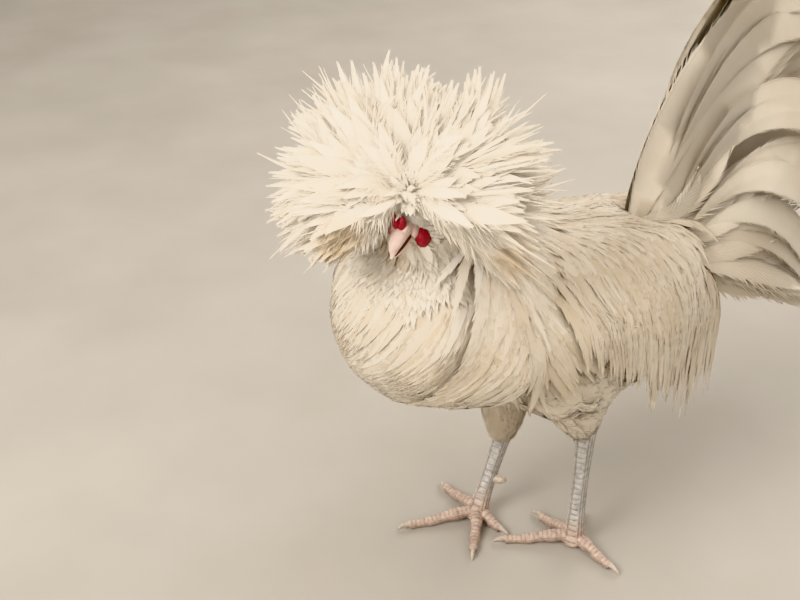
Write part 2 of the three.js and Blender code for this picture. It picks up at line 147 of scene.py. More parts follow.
def make_mesh(name, points, faces, maps=None):
    """A mesh object from arrays: points in the bird's millimetres, faces of one size."""
    faces = np.asarray(faces, np.int32)
    sides = faces.shape[1]
    mesh = bpy.data.meshes.new(name)
    mesh.vertices.add(len(points))
    mesh.vertices.foreach_set("co", ((points + SHIFT) * MM).astype(np.float32).ravel())
    mesh.loops.add(faces.size)
    mesh.loops.foreach_set("vertex_index", faces.ravel())
    mesh.polygons.add(len(faces))
    mesh.polygons.foreach_set("loop_start", np.arange(0, faces.size, sides, dtype=np.int32))
    mesh.polygons.foreach_set("use_smooth", np.ones(len(faces), bool))
    for label, uv in (maps or {}).items():
        layer = mesh.uv_layers.new(name=label)
        layer.uv.foreach_set("vector", uv[faces.ravel()].astype(np.float32).ravel())
    mesh.update(calc_edges=True)
    piece = bpy.data.objects.new(name, mesh)
    bpy.context.scene.collection.objects.link(piece)
    return piece


def finish_piece(piece, material, slot, *nodes):
    piece.data.materials.append(material)
    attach(piece, "root")
    if nodes:
        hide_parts(*nodes)


def pulled(items, label, width, kind=np.float32):
    """One property of every item of a mesh, a row for each."""
    values = np.empty(len(items) * width, kind)
    items.foreach_get(label, values)
    return values.reshape(-1, width)


def mesh_arrays(mesh):
    """Points, in the bird's millimetres, and normals."""
    points = pulled(mesh.vertices, "co", 3).astype(float) / MM - SHIFT
    return points, pulled(mesh.vertices, "normal", 3).astype(float)


def set_points(mesh, points):
    mesh.vertices.foreach_set("co", ((points + SHIFT) * MM).astype(np.float32).ravel())
    mesh.update()


def voxel_skin(piece, size, smooth):
    """Replaces the piece's mesh by one even skin around it, smoothed so many times."""
    voxels = piece.modifiers.new("voxels", "REMESH")
    voxels.mode = "VOXEL"
    voxels.voxel_size = size * MM
    voxels.use_smooth_shade = True
    relax = piece.modifiers.new("relax", "SMOOTH")
    relax.factor = 0.5
    relax.iterations = smooth
    graph = bpy.context.evaluated_depsgraph_get()
    mesh = bpy.data.meshes.new_from_object(piece.evaluated_get(graph))
    piece.modifiers.clear()
    piece.data = mesh


def catmull(points, t):
    """A smooth curve through points, at the places t from 0 to 1."""
    points = np.asarray(points, float)
    last = len(points) - 1
    t = np.clip(np.asarray(t, float), 0, 1) * last
    i = np.minimum(t.astype(int), last - 1)
    f = (t - i)[:, None]
    padded = np.vstack([2 * points[0] - points[1], points, 2 * points[-1] - points[-2]])
    a, b, c, d = (padded[i + k] for k in range(4))
    return 0.5 * (2 * b + (c - a) * f + (2 * a - 5 * b + 4 * c - d) * f**2 + (3 * b - a - 3 * c + d) * f**3)


def ring_faces(rings, sides, closed=False):
    """Triangles between rings of points, from each ring to the next, and if closed to the first."""
    j = np.arange(sides)
    k = (j + 1) % sides
    faces = []
    for i in range(rings if closed else rings - 1):
        low, high = i * sides, (i + 1) % rings * sides
        faces += [np.stack([low + j, low + k, high + k], 1), np.stack([low + j, high + k, high + j], 1)]
    return np.vstack(faces)


def loft(stations, rings=24, sides=24, side=(1, 0, 0)):
    """A closed body. Each station is (x, y, z, half width, half depth); width lies along side."""
    table = catmull(stations, np.linspace(0, 1, rings))
    centre, half = table[:, :3], np.maximum(table[:, 3:], 0.05)
    tangent = unit(np.gradient(centre, axis=0))
    across = np.asarray(side, float)
    u = unit(across - tangent * (tangent @ across)[:, None])
    v = np.cross(tangent, u)
    angle = np.linspace(0, 2 * np.pi, sides, endpoint=False)
    ring = (centre[:, None] + u[:, None] * (half[:, :1] * np.cos(angle))[..., None]
            + v[:, None] * (half[:, 1:] * np.sin(angle))[..., None])
    ends = centre[:1] - tangent[:1] * 0.1, centre[-1:] + tangent[-1:] * 0.1
    points = np.vstack([ring.reshape(-1, 3), *ends])
    j = np.arange(sides)
    k = (j + 1) % sides
    start, end, last = rings * sides, rings * sides + 1, (rings - 1) * sides
    caps = np.stack([j * 0 + start, k, j], 1), np.stack([j * 0 + end, last + j, last + k], 1)
    return points, np.vstack([ring_faces(rings, sides), *caps])


def ball(centre, radii, rings=24, sides=32):
    polar = np.linspace(0, np.pi, rings)
    stations = [(0, 0, -math.cos(a), math.sin(a), math.sin(a)) for a in polar]
    points, faces = loft(stations, rings * 2, sides)
    return points * np.asarray(radii, float) + np.asarray(centre, float), faces


def merged(parts):
    points, faces, offset = [], [], 0
    for p, f in parts:
        points.append(p)
        faces.append(f + offset)
        offset += len(p)
    return np.vstack(points), np.vstack(faces)


# Materials

WHITE = (1.0, 1.0, 1.0)
# Plumage whites: a shaded and a lit copy of one white. The body's two tones are darkened as painted shade,
# and the crest's is kept bright as painted light. The cream between the body tones is partly the plumage's
# own tint and partly painted shade.
SHADED_CREAM = (0.64, 0.555, 0.44)
SHADED_BODY_WHITE = (0.74, 0.675, 0.58)
LIT_CREST_WHITE = (0.88, 0.825, 0.745)
BRASS = (0.60, 0.42, 0.20)
STAINS = (((34, -173, 323), 22), ((90, -80, 302), 28), ((7, -122, 379), 9))    # middles and radii


def add_node(tree, kind, inputs=(), **settings):
    """The outputs of a new node. An input is linked to another node's output, or set."""
    node = tree.nodes.new("ShaderNode" + kind)
    for label, value in settings.items():
        setattr(node, label, value)
    for label, value in dict(inputs).items():
        socket = node.inputs[label]
        if isinstance(value, bpy.types.NodeSocket):
            tree.links.new(value, socket)
        elif isinstance(value, tuple):
            socket.default_value = (*value, 1)[:len(socket.default_value)]
        else:
            socket.default_value = value
    return node.outputs


def principled(name, roughness, specular, **constants):
    material = bpy.data.materials.new(name)
    material.use_nodes = True
    shader = material.node_tree.nodes["Principled BSDF"]
    constants.update(Roughness=roughness, Specular_IOR_Level=specular)
    for label, value in constants.items():
        shader.inputs[label.replace("_", " ")].default_value = value
    return material, material.node_tree, shader


def place_on(tree):
    return add_node(tree, "TexCoord")["Object"]


def separate(tree, vector):
    return add_node(tree, "SeparateXYZ", {"Vector": vector})


def map_parts(tree, name):
    return separate(tree, add_node(tree, "UVMap", uv_map=name)["UV"])


def noise(tree, scale, detail=3.0, stretch=None):
    place = place_on(tree)
    if stretch:
        place = add_node(tree, "Mapping", {"Vector": place, "Scale": stretch})["Vector"]
    return add_node(tree, "TexNoise", {"Vector": place, "Scale": scale, "Detail": detail})["Fac"]


def colours(tree, value, stops):
    node = tree.nodes.new("ShaderNodeValToRGB")
    band = node.color_ramp
    while len(band.elements) < len(stops):
        band.elements.new(0.5)
    for element, (position, colour) in zip(band.elements, stops):
        element.position = position
        element.color = (*colour, 1)
    tree.links.new(value, node.inputs["Fac"])
    return node.outputs["Color"]


def two_tones(tree, value, dark, pale):
    return colours(tree, value, ((0.3, dark), (0.7, pale)))


def blend_colours(tree, a, b, factor, mode="MIX"):
    return add_node(tree, "Mix", {0: factor, 6: a, 7: b}, data_type="RGBA", blend_type=mode)[2]


def calculate(tree, operation, *values):
    return add_node(tree, "Math", enumerate(values), operation=operation)[0]


def times(tree, a, b):
    return calculate(tree, "MULTIPLY", a, b)


def between(tree, value, low, high, curve="LINEAR"):
    """0 where value is low and 1 where it is high."""
    inputs = {"Value": value, "From Min": low, "From Max": high}
    return add_node(tree, "MapRange", inputs, interpolation_type=curve)["Result"]


def bump(tree, shader, height, strength, depth):
    inputs = {"Height": height, "Strength": strength, "Distance": depth}
    tree.links.new(add_node(tree, "Bump", inputs)["Normal"], shader.inputs["Normal"])


def near(tree, centre, radius, soft):
    """1 inside a ball about centre, in the bird's millimetres, falling to 0 over the share soft."""
    middle = tuple((np.asarray(centre) + SHIFT) * MM)
    away = add_node(tree, "VectorMath", {0: place_on(tree), 1: middle}, operation="DISTANCE")["Value"]
    return between(tree, calculate(tree, "DIVIDE", away, radius * MM), 1.0, 1.0 - soft, "SMOOTHSTEP")


def markings_and_painted_shade(tree):
    """The colours that skin and feathers share: cream tinge and brassy stains; body whites darkened as
    painted shade, crest kept bright as painted light.
    """
    # painted shade on the body's random cream-to-white tones, and painted light within 135 mm of the crest's
    # root, beard included
    body = colours(tree, noise(tree, 14, 3), ((0.3, SHADED_CREAM), (0.6, SHADED_BODY_WHITE)))
    tone = blend_colours(tree, body, LIT_CREST_WHITE, near(tree, CREST_ROOT, 135, 0.45))
    mask = 0.0
    for centre, radius in STAINS:
        mask = calculate(tree, "MAXIMUM", mask, near(tree, centre, radius, 0.8))
    patchy = times(tree, mask, noise(tree, 90, 2))
    return blend_colours(tree, tone, BRASS, times(tree, patchy, 1.1))


def plumage_material(name, roughness, barb_scale, barb_strength, gloss=0.3,
                     dim=(0.92, 0.89, 0.84), root=(0.88, 0.83, 0.75)):
    """Feather vanes: fine slanting barbs, a raised shaft, a tone of its own for each feather, and painted
    shade darkening each towards its root.
    """
    material, tree, shader = principled(name, roughness, gloss, Sheen_Weight=0.25, Sheen_Roughness=0.5)
    vane, own = map_parts(tree, "Vane"), map_parts(tree, "Tone")
    side = calculate(tree, "ABSOLUTE", vane["X"])
    slant = calculate(tree, "SUBTRACT", times(tree, side, 0.3), vane["Y"])
    wave = calculate(tree, "SINE", times(tree, slant, barb_scale))
    shaft = calculate(tree, "SMOOTH_MAX", calculate(tree, "SUBTRACT", 0.09, side), 0.0, 0.02)
    own_tint = colours(tree, own["X"], ((0.0, dim), (1.0, WHITE)))
    # painted shade: each feather darkens towards its root to the colour root, where the feathers over it
    # would shade it
    root_painted_shade = colours(tree, vane["Y"], ((0.0, root), (0.65, WHITE)))
    tinted = blend_colours(tree, markings_and_painted_shade(tree), own_tint, 0.8, "MULTIPLY")
    shaded = blend_colours(tree, tinted, root_painted_shade, 0.7, "MULTIPLY")
    tree.links.new(shaded, shader.inputs["Base Color"])
    height = calculate(tree, "ADD", times(tree, wave, 0.5), times(tree, shaft, 8))
    bump(tree, shader, height, barb_strength, 0.0004)
    return material


def skin_material():
    material, tree, shader = principled("feather_base", 0.9, 0.15)
    tree.links.new(markings_and_painted_shade(tree), shader.inputs["Base Color"])
    bump(tree, shader, noise(tree, 700, 4), 0.5, 0.0006)
    return material


def grained(name, roughness, specular, scale, tones, relief=None, detail=3, stretch=None, **constants):
    """Two tones that follow a noise, with the same noise as relief: its strength and its height."""
    material, tree, shader = principled(name, roughness, specular, **constants)
    grain = noise(tree, scale, detail, stretch)
    tree.links.new(two_tones(tree, grain, *tones), shader.inputs["Base Color"])
    if relief:
        bump(tree, shader, grain, *relief)
    return material


def horn_material():
    tones = (0.72, 0.50, 0.44), (0.90, 0.74, 0.68)
    return grained("pale_horn", 0.34, 0.5, 420, tones, (0.25, 0.0003), 4, (1, 0.25, 0.6), Coat_Weight=0.15)


def gape_shade_material():
    # painted shade: near-black reddish brown for the shaded crease of the mouth, partly the mouth's own dark
    # colour
    return grained("painted_gape_shade", 0.6, 0.3, 700, ((0.10, 0.045, 0.04), (0.20, 0.09, 0.075)))


def claw_material():
    return grained("claw_horn", 0.4, 0.5, 600, ((0.42, 0.34, 0.28), (0.66, 0.58, 0.50)), (0.2, 0.0003))


def red_material():
    tones = (0.25, 0.008, 0.02), (0.46, 0.03, 0.055)
    glow = {"Subsurface_Weight": 0.15, "Subsurface_Radius": (0.004, 0.001, 0.001)}
    return grained("red_skin", 0.45, 0.5, 900, tones, (0.5, 0.0006), **glow)


def scale_material():
    """Bare leg skin: pale blue-grey scales on the shank and pinker toes, darker in the grooves."""
    material, tree, shader = principled("leg_scales", 0.55, 0.4)
    fine = noise(tree, 260, 4)
    grey = two_tones(tree, fine, (0.37, 0.355, 0.355), (0.65, 0.63, 0.60))
    pink = two_tones(tree, fine, (0.43, 0.32, 0.27), (0.69, 0.55, 0.47))
    low = between(tree, separate(tree, place_on(tree))["Z"], 0.032, 0.012)
    # darker towards the middles of the grooves between scales
    groove_darkening = colours(tree, map_parts(tree, "Groove")["X"], ((0.0, (0.50, 0.45, 0.40)), (0.8, WHITE)))
    skin_tone = blend_colours(tree, grey, pink, low)
    tree.links.new(blend_colours(tree, skin_tone, groove_darkening, 0.9, "MULTIPLY"), shader.inputs["Base Color"])
    bump(tree, shader, noise(tree, 1500, 3), 0.3, 0.0003)
    return material


def eye_material():
    """Iris and pupil by distance from the eye's own axis, under a clear coat."""
    material, tree, shader = principled("eye", 0.2, 0.6, Coat_Weight=1.0, Coat_Roughness=0.03)
    stops = (
        (0.0, (0.01, 0.008, 0.008)), (0.36, (0.012, 0.01, 0.01)), (0.42, (0.42, 0.13, 0.03)),
        (0.72, (0.55, 0.2, 0.05)), (0.84, (0.16, 0.06, 0.03)), (1.0, (0.05, 0.03, 0.03)),
    )
    iris = colours(tree, map_parts(tree, "Iris")["X"], stops)
    fleck = two_tones(tree, noise(tree, 1800, 3), (0.7, 0.7, 0.7), WHITE)
    tree.links.new(blend_colours(tree, iris, fleck, 0.6, "MULTIPLY"), shader.inputs["Base Color"])
    return material


# The skin, which every small feather grows from

FLESH = ["head", "neck", "trunk", "beard", "thigh_left", "thigh_right", "wing_left", "wing_right"]


def crest_cushion():
    """The round knob of the skull and down that carries the crest, open towards the face."""
    points, faces = ball((0, 0, 0), (1, 1, 1), 20, 28)
    way = unit(points)
    facing = ramp(way @ FACE_WAY, 0.05, 0.6)
    below = ramp(-way[:, 2], 0.1, 0.8)
    radius = 31 * (1 - 0.6 * np.maximum(facing, 0.6 * below))
    return way * radius[:, None] + CREST_ROOT + (2, -2, 2), faces


def coat_depth(p):
    """How far below the feathers' outline the skin lies, in millimetres."""
    depth = mix(2.0, 9.0, ramp(p[:, 2], 70, 130)) * ramp(distance(p, HEAD_CENTRE), 20, 48)
    return np.where((distance(p, CREST_ROOT) < 50) & (p[:, 2] > 322), 0.0, depth)


def fused(name, nodes, size, smooth):
    """One closed surface around several solids."""
    stock = bmesh.new()
    for node in nodes:
        stock.from_mesh(frame["nodes"][node].data)
    bmesh.ops.remove_doubles(stock, verts=stock.verts, dist=1e-5)
    stock.normal_update()
    for v in stock.verts:
        v.co += v.normal * 0.5 * MM
    mesh = bpy.data.meshes.new(name)
    stock.to_mesh(mesh)
    stock.free()
    piece = bpy.data.objects.new(name, mesh)
    bpy.context.scene.collection.objects.link(piece)
    voxel_skin(piece, size, smooth)
    return piece


def make_skin():
    body = fused("skin", FLESH, 4.0, 10)
    points, normals = mesh_arrays(body.data)
    set_points(body.data, points - normals * coat_depth(points)[:, None])
    cushion = make_mesh("cushion", *crest_cushion())
    with bpy.context.temp_override(active_object=body, selected_editable_objects=[body, cushion]):
        bpy.ops.object.join()
    voxel_skin(body, 3.0, 8)
    for other in bpy.context.view_layer.objects:
        other.select_set(False)
    body.select_set(True)
    bpy.context.view_layer.objects.active = body
    body.data.uv_layers.new(name="OFBake")
    bpy.ops.object.mode_set(mode="EDIT")
    bpy.ops.mesh.select_all(action="SELECT")
    bpy.ops.uv.smart_project(angle_limit=1.15, island_margin=0.002)
    bpy.ops.object.mode_set(mode="OBJECT")
    return body


class SkinMap:
    """Fast questions about the skin: random roots, nearest point, normal and place on its unwrap."""

    def __init__(self, mesh):
        self.points, self.normals = mesh_arrays(mesh)
        mesh.calc_loop_triangles()
        self.triangles = pulled(mesh.loop_triangles, "vertices", 3, np.int32)
        self.uv = np.zeros((len(self.triangles), 2))
        if mesh.uv_layers:
            loops = pulled(mesh.loop_triangles, "loops", 3, np.int32)
            self.uv = pulled(mesh.uv_layers["OFBake"].uv, "vector", 2)[loops].mean(1)
        a, b, c = (self.points[self.triangles[:, k]] for k in range(3))
        self.areas = 0.5 * np.linalg.norm(np.cross(b - a, c - a), axis=1)
        self.centres = (a + b + c) / 3
        self.facing = unit(self.normals[self.triangles].mean(1))
        self.tree = BVHTree.FromPolygons(self.points.tolist(), self.triangles.tolist())

    def nearest(self, p):
        spots = np.empty((len(p), 3))
        faces = np.empty(len(p), int)
        for i, q in enumerate(p.tolist()):
            spot, _, face, _ = self.tree.find_nearest(q)
            spots[i] = spot
            faces[i] = face
        return spots, self.facing[faces], self.uv[faces]

    def scatter(self, where, spacing):
        """Roots about spacing apart, over the triangles whose centres where() accepts."""
        chosen = np.nonzero(where(self.centres))[0]
        areas = self.areas[chosen]
        tries = int(areas.sum() / spacing**2 * 3.2)
        picks = rng.choice(chosen, tries, p=areas / areas.sum())
        r1, r2 = np.sqrt(rng.random(tries)), rng.random(tries)
        weights = np.stack([1 - r1, r1 * (1 - r2), r1 * r2], 1)
        spots = (self.points[self.triangles[picks]] * weights[..., None]).sum(1)
        cells = {}
        kept = []
        for i, (x, y, z) in enumerate((spots / spacing).tolist()):
            cell = (int(x // 1), int(y // 1), int(z // 1))
            around = (cells.get((cell[0] + a, cell[1] + b, cell[2] + c), ())
                      for a in (-1, 0, 1) for b in (-1, 0, 1) for c in (-1, 0, 1))
            if all((x - u)**2 + (y - v)**2 + (z - w)**2 > 0.72 for group in around for u, v, w in group):
                cells.setdefault(cell, []).append((x, y, z))
                kept.append(i)
        kept = np.array(kept)
        return spots[kept], self.facing[picks[kept]], self.uv[picks[kept]]


# Feathers. A kind of feather is a flat pattern of places (s along, u across, h above) that is laid
# along a spine; a coat gathers many of them into one mesh.

def leaf(peak, power):
    """Half width along the feather, 1 at the share peak of its length."""
    shape = math.log(0.5) / math.log(peak)
    return lambda s: np.sin(np.pi * np.clip(s, 0, 1)**shape)**power


class Pattern:
    """A web beside the shaft and barbs that stand out of its edge, slanting to the tip.

    The web is that share of the whole width, sweep is a barb's length along the feather, fray its
    unevenness, and cup how far the edges bend down."""

    def __init__(self, outline, rows, barbs, web, sweep, fray, cup, seed):
        pick = np.random.default_rng(seed)
        s = np.linspace(0, 1, rows + 1)
        places, faces = [(v, 0.0, 0.0) for v in s], []
        for hand in (-1, 1):
            start = len(places)
            places += [(v, hand * w, -cup * w**2) for v, w in zip(s, web * outline(s))]
            for i in range(rows):
                a, b, c, d = (i, i + 1, start + i + 1, start + i)[::-hand]
                faces += [(a, b, c), (a, c, d)]
            step = 0.97 / barbs
            for k in range(barbs):
                low = 0.015 + k * step
                high = min(low + step * 1.6, 0.995)
                jitter = 1 + fray * (pick.random() - 0.5)
                tip = min(low + sweep * jitter, 1 + 0.02 * pick.random())
                reach = outline(min(tip, 0.985)) * (1 + fray * (pick.random() - 0.6))
                first = len(places)
                for foot in (low, high):
                    inner = 0.92 * web * outline(foot)
                    places.append((foot, hand * inner, -cup * inner**2 + 0.004))
                lift = fray * 0.25 * (pick.random() - 0.5)
                places.append((tip, hand * reach, -cup * reach**2 + lift))
                faces.append((first, first + 1, first + 2))
        self.s, self.u, self.h = np.array(places).T
        faces = np.array(faces)
        flat = np.stack([self.u, self.s], 1)[faces]
        one, two = flat[:, 1] - flat[:, 0], flat[:, 2] - flat[:, 0]
        turned = one[:, 0] * two[:, 1] < one[:, 1] * two[:, 0]
        self.faces = np.where(turned[:, None], faces[:, ::-1], faces)


def patterns(count, *shape):
    return [Pattern(*shape, 11 * k + 3) for k in range(count)]


KINDS = {                          # patterns, outline, rows, barbs, web, sweep, fray and cup
    "contour": patterns(5, leaf(0.54, 0.8), 5, 20, 0.66, 0.24, 0.4, 0.14),
    "broad": patterns(5, leaf(0.6, 0.62), 8, 34, 0.72, 0.13, 0.35, 0.3),
    "down": patterns(5, leaf(0.55, 0.75), 4, 24, 0.5, 0.3, 0.7, 0.07),
    "wisp": patterns(5, leaf(0.45, 0.8), 8, 22, 0.3, 0.22, 0.9, 0.2),
    "hackle": patterns(5, leaf(0.42, 0.85), 8, 20, 0.7, 0.13, 0.4, 0.15),
    "crest": patterns(7, leaf(0.5, 0.95), 8, 54, 0.42, 0.2, 0.85, 0.2),
    "plume": patterns(7, leaf(0.56, 0.85), 8, 60, 0.5, 0.2, 0.8, 0.16),
    "quill": patterns(5, leaf(0.6, 0.5), 22, 150, 0.88, 0.06, 0.22, 0.2),
}


class Coat:
    """Gathers feathers into one mesh with its three maps."""

    def __init__(self, seed):
        global rng
        rng = np.random.default_rng(seed)
        self.points, self.faces, self.bake, self.vane, self.tone = [], [], [], [], []
        self.count = 0

    def add(self, kind, spines, ups, widths, roots, roll=18.0):
        group = rng.integers(len(KINDS[kind]), size=len(spines))
        for k, pattern in enumerate(KINDS[kind]):
            own = group == k
            if own.any():
                self._lay(pattern, spines[own], ups[own], widths[own], roots[own], roll)

    def _lay(self, pattern, spines, ups, widths, roots, roll):
        many, knots = spines.shape[:2]
        tangents = unit(np.gradient(spines, axis=1))
        level = unit(np.cross(tangents, ups))
        upright = np.cross(level, tangents)
        angle = np.radians(rng.normal(0, roll, (many, 1, 1)))
        across = level * np.cos(angle) + upright * np.sin(angle)
        above = upright * np.cos(angle) - level * np.sin(angle)
        place = pattern.s * (knots - 1)
        i = np.minimum(place.astype(int), knots - 2)
        f = (place - i)[None, :, None]
        spot, over, out = (a[:, i] * (1 - f) + a[:, i + 1] * f for a in (spines, across, above))
        half = widths[:, None, None] / 2
        points = spot + over * half * pattern.u[None, :, None] + out * half * pattern.h[None, :, None]
        offset = self.count + np.arange(many)[:, None, None] * len(pattern.s)
        self.points.append(points.reshape(-1, 3))
        self.faces.append((pattern.faces[None] + offset).reshape(-1, 3))
        patch = np.stack([pattern.u * 0.5, pattern.s - 0.5], 1) * PATCH
        self.bake.append((roots[:, None] + patch[None]).reshape(-1, 2))
        self.vane.append(np.tile(np.stack([pattern.u, pattern.s], 1), (many, 1)))
        self.tone.append(np.repeat(rng.random((many, 2)), len(pattern.s), 0))
        self.count += many * len(pattern.s)

    def piece(self, name, outward=None, lean=0.58):
        """The coat's mesh; its shading leans towards the smooth surface that the feathers lie on."""
        maps = {"OFBake": np.vstack(self.bake), "Vane": np.vstack(self.vane), "Tone": np.vstack(self.tone)}
        made = make_mesh(name, np.vstack(self.points), np.vstack(self.faces), maps)
        points, own = mesh_arrays(made.data)
        smooth = outward(points) if outward else skin_map.nearest(points)[1]
        leaning = unit(own * (1 - lean) + smooth * lean)
        shown = np.where((leaning * own).sum(1, keepdims=True) > 0.25, leaning, own)
        made.data.normals_split_custom_set_from_vertices(shown.tolist())
        return made


def lay(roots, normals, flow, length, lift, cling=1.0, droop=0.0, rise=0.15, steps=8, over=None,
        free=-99.0):
    """Spines that start on the skin and follow flow, resting lift[0] to lift[1] above it or over a guide.

    Below the height free they leave it and hang."""
    guide = over or skin_map
    stiff = 0.55
    step = (length / steps)[:, None]
    n = normals
    p = roots + n * max(lift[0], 0.5)
    heading = unit(flow(p) - n * (flow(p) * n).sum(1, keepdims=True))
    heading = unit(heading + n * rise)
    spines, ups = [p], [n]
    for k in range(1, steps + 1):
        t = k / steps
        wanted = flow(p)
        wanted = unit(wanted - n * (wanted * n).sum(1, keepdims=True))
        wanted = np.where((p[:, 2] < free)[:, None], DOWN, wanted)
        heading = unit(heading * stiff + wanted * (1 - stiff) + np.array([0, 0, -droop * t]))
        before = p
        p = p + heading * step
        hung = p[:, 2] < free
        spot, near_normal, _ = guide.nearest(p)
        n = np.where(hung[:, None], n, near_normal)
        height = ((p - spot) * n).sum(1)
        goal = mix(lift[0], lift[1], min(1, t * (2.5 if over else 1)))
        pull = np.where(hung, 0.0, np.where(height < goal, 1.0, cling))
        p = p + n * ((goal - height) * pull)[:, None]
        heading = unit(p - before)
        spines.append(p)
        ups.append(n)
    return np.stack(spines, 1), np.stack(ups, 1)


# The lie of the feathers

BACK = np.array([0.0, 1.0, 0.0])
SWEEP = np.array([-0.46, -0.89, 0.0])          # to the bird's front right, across the breast
DOWN = np.array([0.0, 0.0, -1.0])
SADDLE_HALF = 52.0


def share(x, low, high):
    return ramp(x, low, high)[:, None]


def body_flow(p):
    """Down and back over the breast, straight back along the flanks, and down the thighs."""
    breast = share(-p[:, 1], 40, 135)
    thigh = share(-p[:, 2], -150, -118)
    swept = share(-p[:, 1], 80, 130) * share(p[:, 2], 180, 230)
    flank = BACK * mix(1.0, 0.35, breast) + DOWN * mix(0.3, 1.0, breast) + SWEEP * 1.1 * swept
    return unit(flank * (1 - thigh) + (DOWN + BACK * 0.25) * thigh)


def hackle_flow(p):
    """Down and away from the neck, round the breast to its right, and back over the shoulders."""
    lower = share(-p[:, 2], -290, -200)
    before = share(-p[:, 1], 45, 80)
    front = before * share(p[:, 0], -75, -20)
    ahead = unit(p - NECK_ROOT) * mix(0.7, 0.2, front) + DOWN * mix(0.65, 0.9 - 0.4 * lower, front)
    reach = np.hypot(p[:, 0], p[:, 1] + 60)[:, None]
    around = np.stack([p[:, 1] + 60, -p[:, 0], 0 * p[:, 0]], 1) / np.maximum(reach, 1)
    return unit(ahead + around * (0.3 + 0.75 * lower) * front + BACK * 0.4 * (1 - before))


def saddle_flow(p):
    """Outwards from the spine and back, then straight down the flanks."""
    side = np.clip(p[:, :1] / SADDLE_HALF, -1, 1)
    flank = np.maximum(np.abs(side), ramp(-p[:, 2:], -245, -215))
    return unit(np.concatenate([side * 0.6, mix(0.95, 0.2, flank**1.5), -mix(0.1, 1.0, flank)], 1))


def beard_flow(p):
    return unit(unit(p - on_head([0, -16, -10])) + DOWN * 0.9)


def face_flow(p):
    return unit(p - on_head([0, -30, 0]))


def wing_flow(p):
    return unit(BACK * np.ones((len(p), 1)) + DOWN * 0.6)


def rump_flow(p):
    side = unit(p * (1, 0, 0) + 1e-6)
    return unit(BACK + mix(DOWN, -DOWN * 0.75, share(p[:, 2], 205, 250)) + side * 0.2)


def is_crest(p):
    return (distance(p, CREST_ROOT) < 60) & (p[:, 2] > 318)


def is_face(p):
    across, ahead, up = in_head(p).T
    bare = (np.abs(across) < 9.5) & (ahead < -15) & (up > -5)
    return (ahead < 2) & (ahead > -25) & (np.abs(across) < 22) & (up > -12) & ~bare


def is_beard(p):
    return (distance(p, on_head([0, -8, -27])) < 31) & (p[:, 2] < 318) & ~is_face(p)


def is_thigh(p):
    return p[:, 2] < 138


def is_neck(p):
    return (distance(p, NECK_ROOT) < 78) & (p[:, 2] > 250) & ~is_beard(p) & ~is_crest(p)


def is_nape(p):
    return is_neck(p) & (p[:, 1] > -78)


def is_wing(p):
    return (p[:, 1] > -66) & (p[:, 1] < -22) & (p[:, 2] > 176) & (p[:, 2] < 236) & (np.abs(p[:, 0]) > 50)


def is_saddle(p):
    edge = 14 * np.sin(p[:, 0] * 0.9) + 8 * np.sin(p[:, 0] * 2.3 + 1) - 26
    return (p[:, 1] > edge) & (p[:, 1] < 112) & (p[:, 2] > 232) & (np.abs(p[:, 0]) < SADDLE_HALF)


def is_rump(p):
    return (p[:, 1] > 100) & (p[:, 2] > 176)


def is_body(p):
    under_saddle = (np.abs(p[:, 0]) > SADDLE_HALF) & (p[:, 1] > 0) & (p[:, 1] < 90) & (p[:, 2] > 184)
    return ~(is_crest(p) | is_face(p) | is_beard(p) | is_thigh(p) | under_saddle)


def is_crest_rear(p):
    return (distance(p, CREST_ROOT) < 60) & (p[:, 2] > 322) & (in_head(p)[:, 1] > 6)


def vary(low, high, count):
    return rng.uniform(low, high, count)


def grow(coat, kind, where, spacing, length, width, flow, lift, roll=14.0, **laying):
    """Feathers on the skin wherever where() is true; length is a range or gives one for each root."""
    roots, normals, uv = skin_map.scatter(where, spacing)
    long = length(roots) if callable(length) else vary(*length, len(roots))
    spines, ups = lay(roots, normals, flow, long, lift, **laying)
    coat.add(kind, spines, ups, vary(*width, len(roots)), uv, roll)


def cover_body():
    """The short feathers of breast, belly, back and flanks."""
    coat = Coat(1)
    grow(coat, "contour", is_body, 5.0, (28, 42), (12, 18), body_flow, (0.5, 2.4), roll=6)
    return coat.piece("body_feathers")


def cover_fluff():
    """Soft feathers of the thighs, the beard and the face."""
    coat = Coat(2)
    grow(coat, "down", is_thigh, 2.7, (22, 34), (12, 17), body_flow, (0.4, 1.4), roll=4)
    grow(coat, "down", is_beard, 2.7, (18, 28), (9, 14), beard_flow, (0.4, 4.0), roll=10, cling=0.8)
    grow(coat, "down", is_face, 2.0, (5, 9), (3, 4.5), face_flow, (0.3, 1.5))
    return coat.piece("fluff_feathers")


def cover_neck():
    coat = Coat(3)
    length = lambda p: mix(78, 128, ramp(-p[:, 1], 58, 92)) * vary(0.62, 1.08, len(p))
    grow(coat, "hackle", is_neck, 2.3, length, (8, 13), hackle_flow, (0.8, 5.0), 7, cling=0.85, steps=12)
    return coat.piece("neck_hackle")


def cover_shoulders():
    """Shorter hackle of the nape, laid over the front of the saddle."""
    coat = Coat(11)
    grow(coat, "hackle", is_nape, 2.8, (56, 92), (8, 13), hackle_flow, (-7.5, 0.5), 7, cling=0.85,
         steps=12, over=cape_map)
    return coat.piece("shoulder_hackle")


def cover_saddle():
    coat = Coat(4)
    length = lambda p: mix(86, 116, ramp(p[:, 1], 0, 80)) * vary(0.7, 1.06, len(p))
    grow(coat, "hackle", is_saddle, 2.6, length, (8, 13), saddle_flow, (-8.0, 4.5), 7, cling=0.6,
         droop=0.2, steps=12, over=cape_map, free=178)
    return coat.piece("saddle_hackle", lambda p: cape_map.nearest(p)[1])


def cover_wings():
    coat = Coat(5)
    grow(coat, "broad", is_wing, 7.5, (50, 70), (18, 26), wing_flow, (1.5, 4.0), roll=3)
    return coat.piece("wing_feathers")


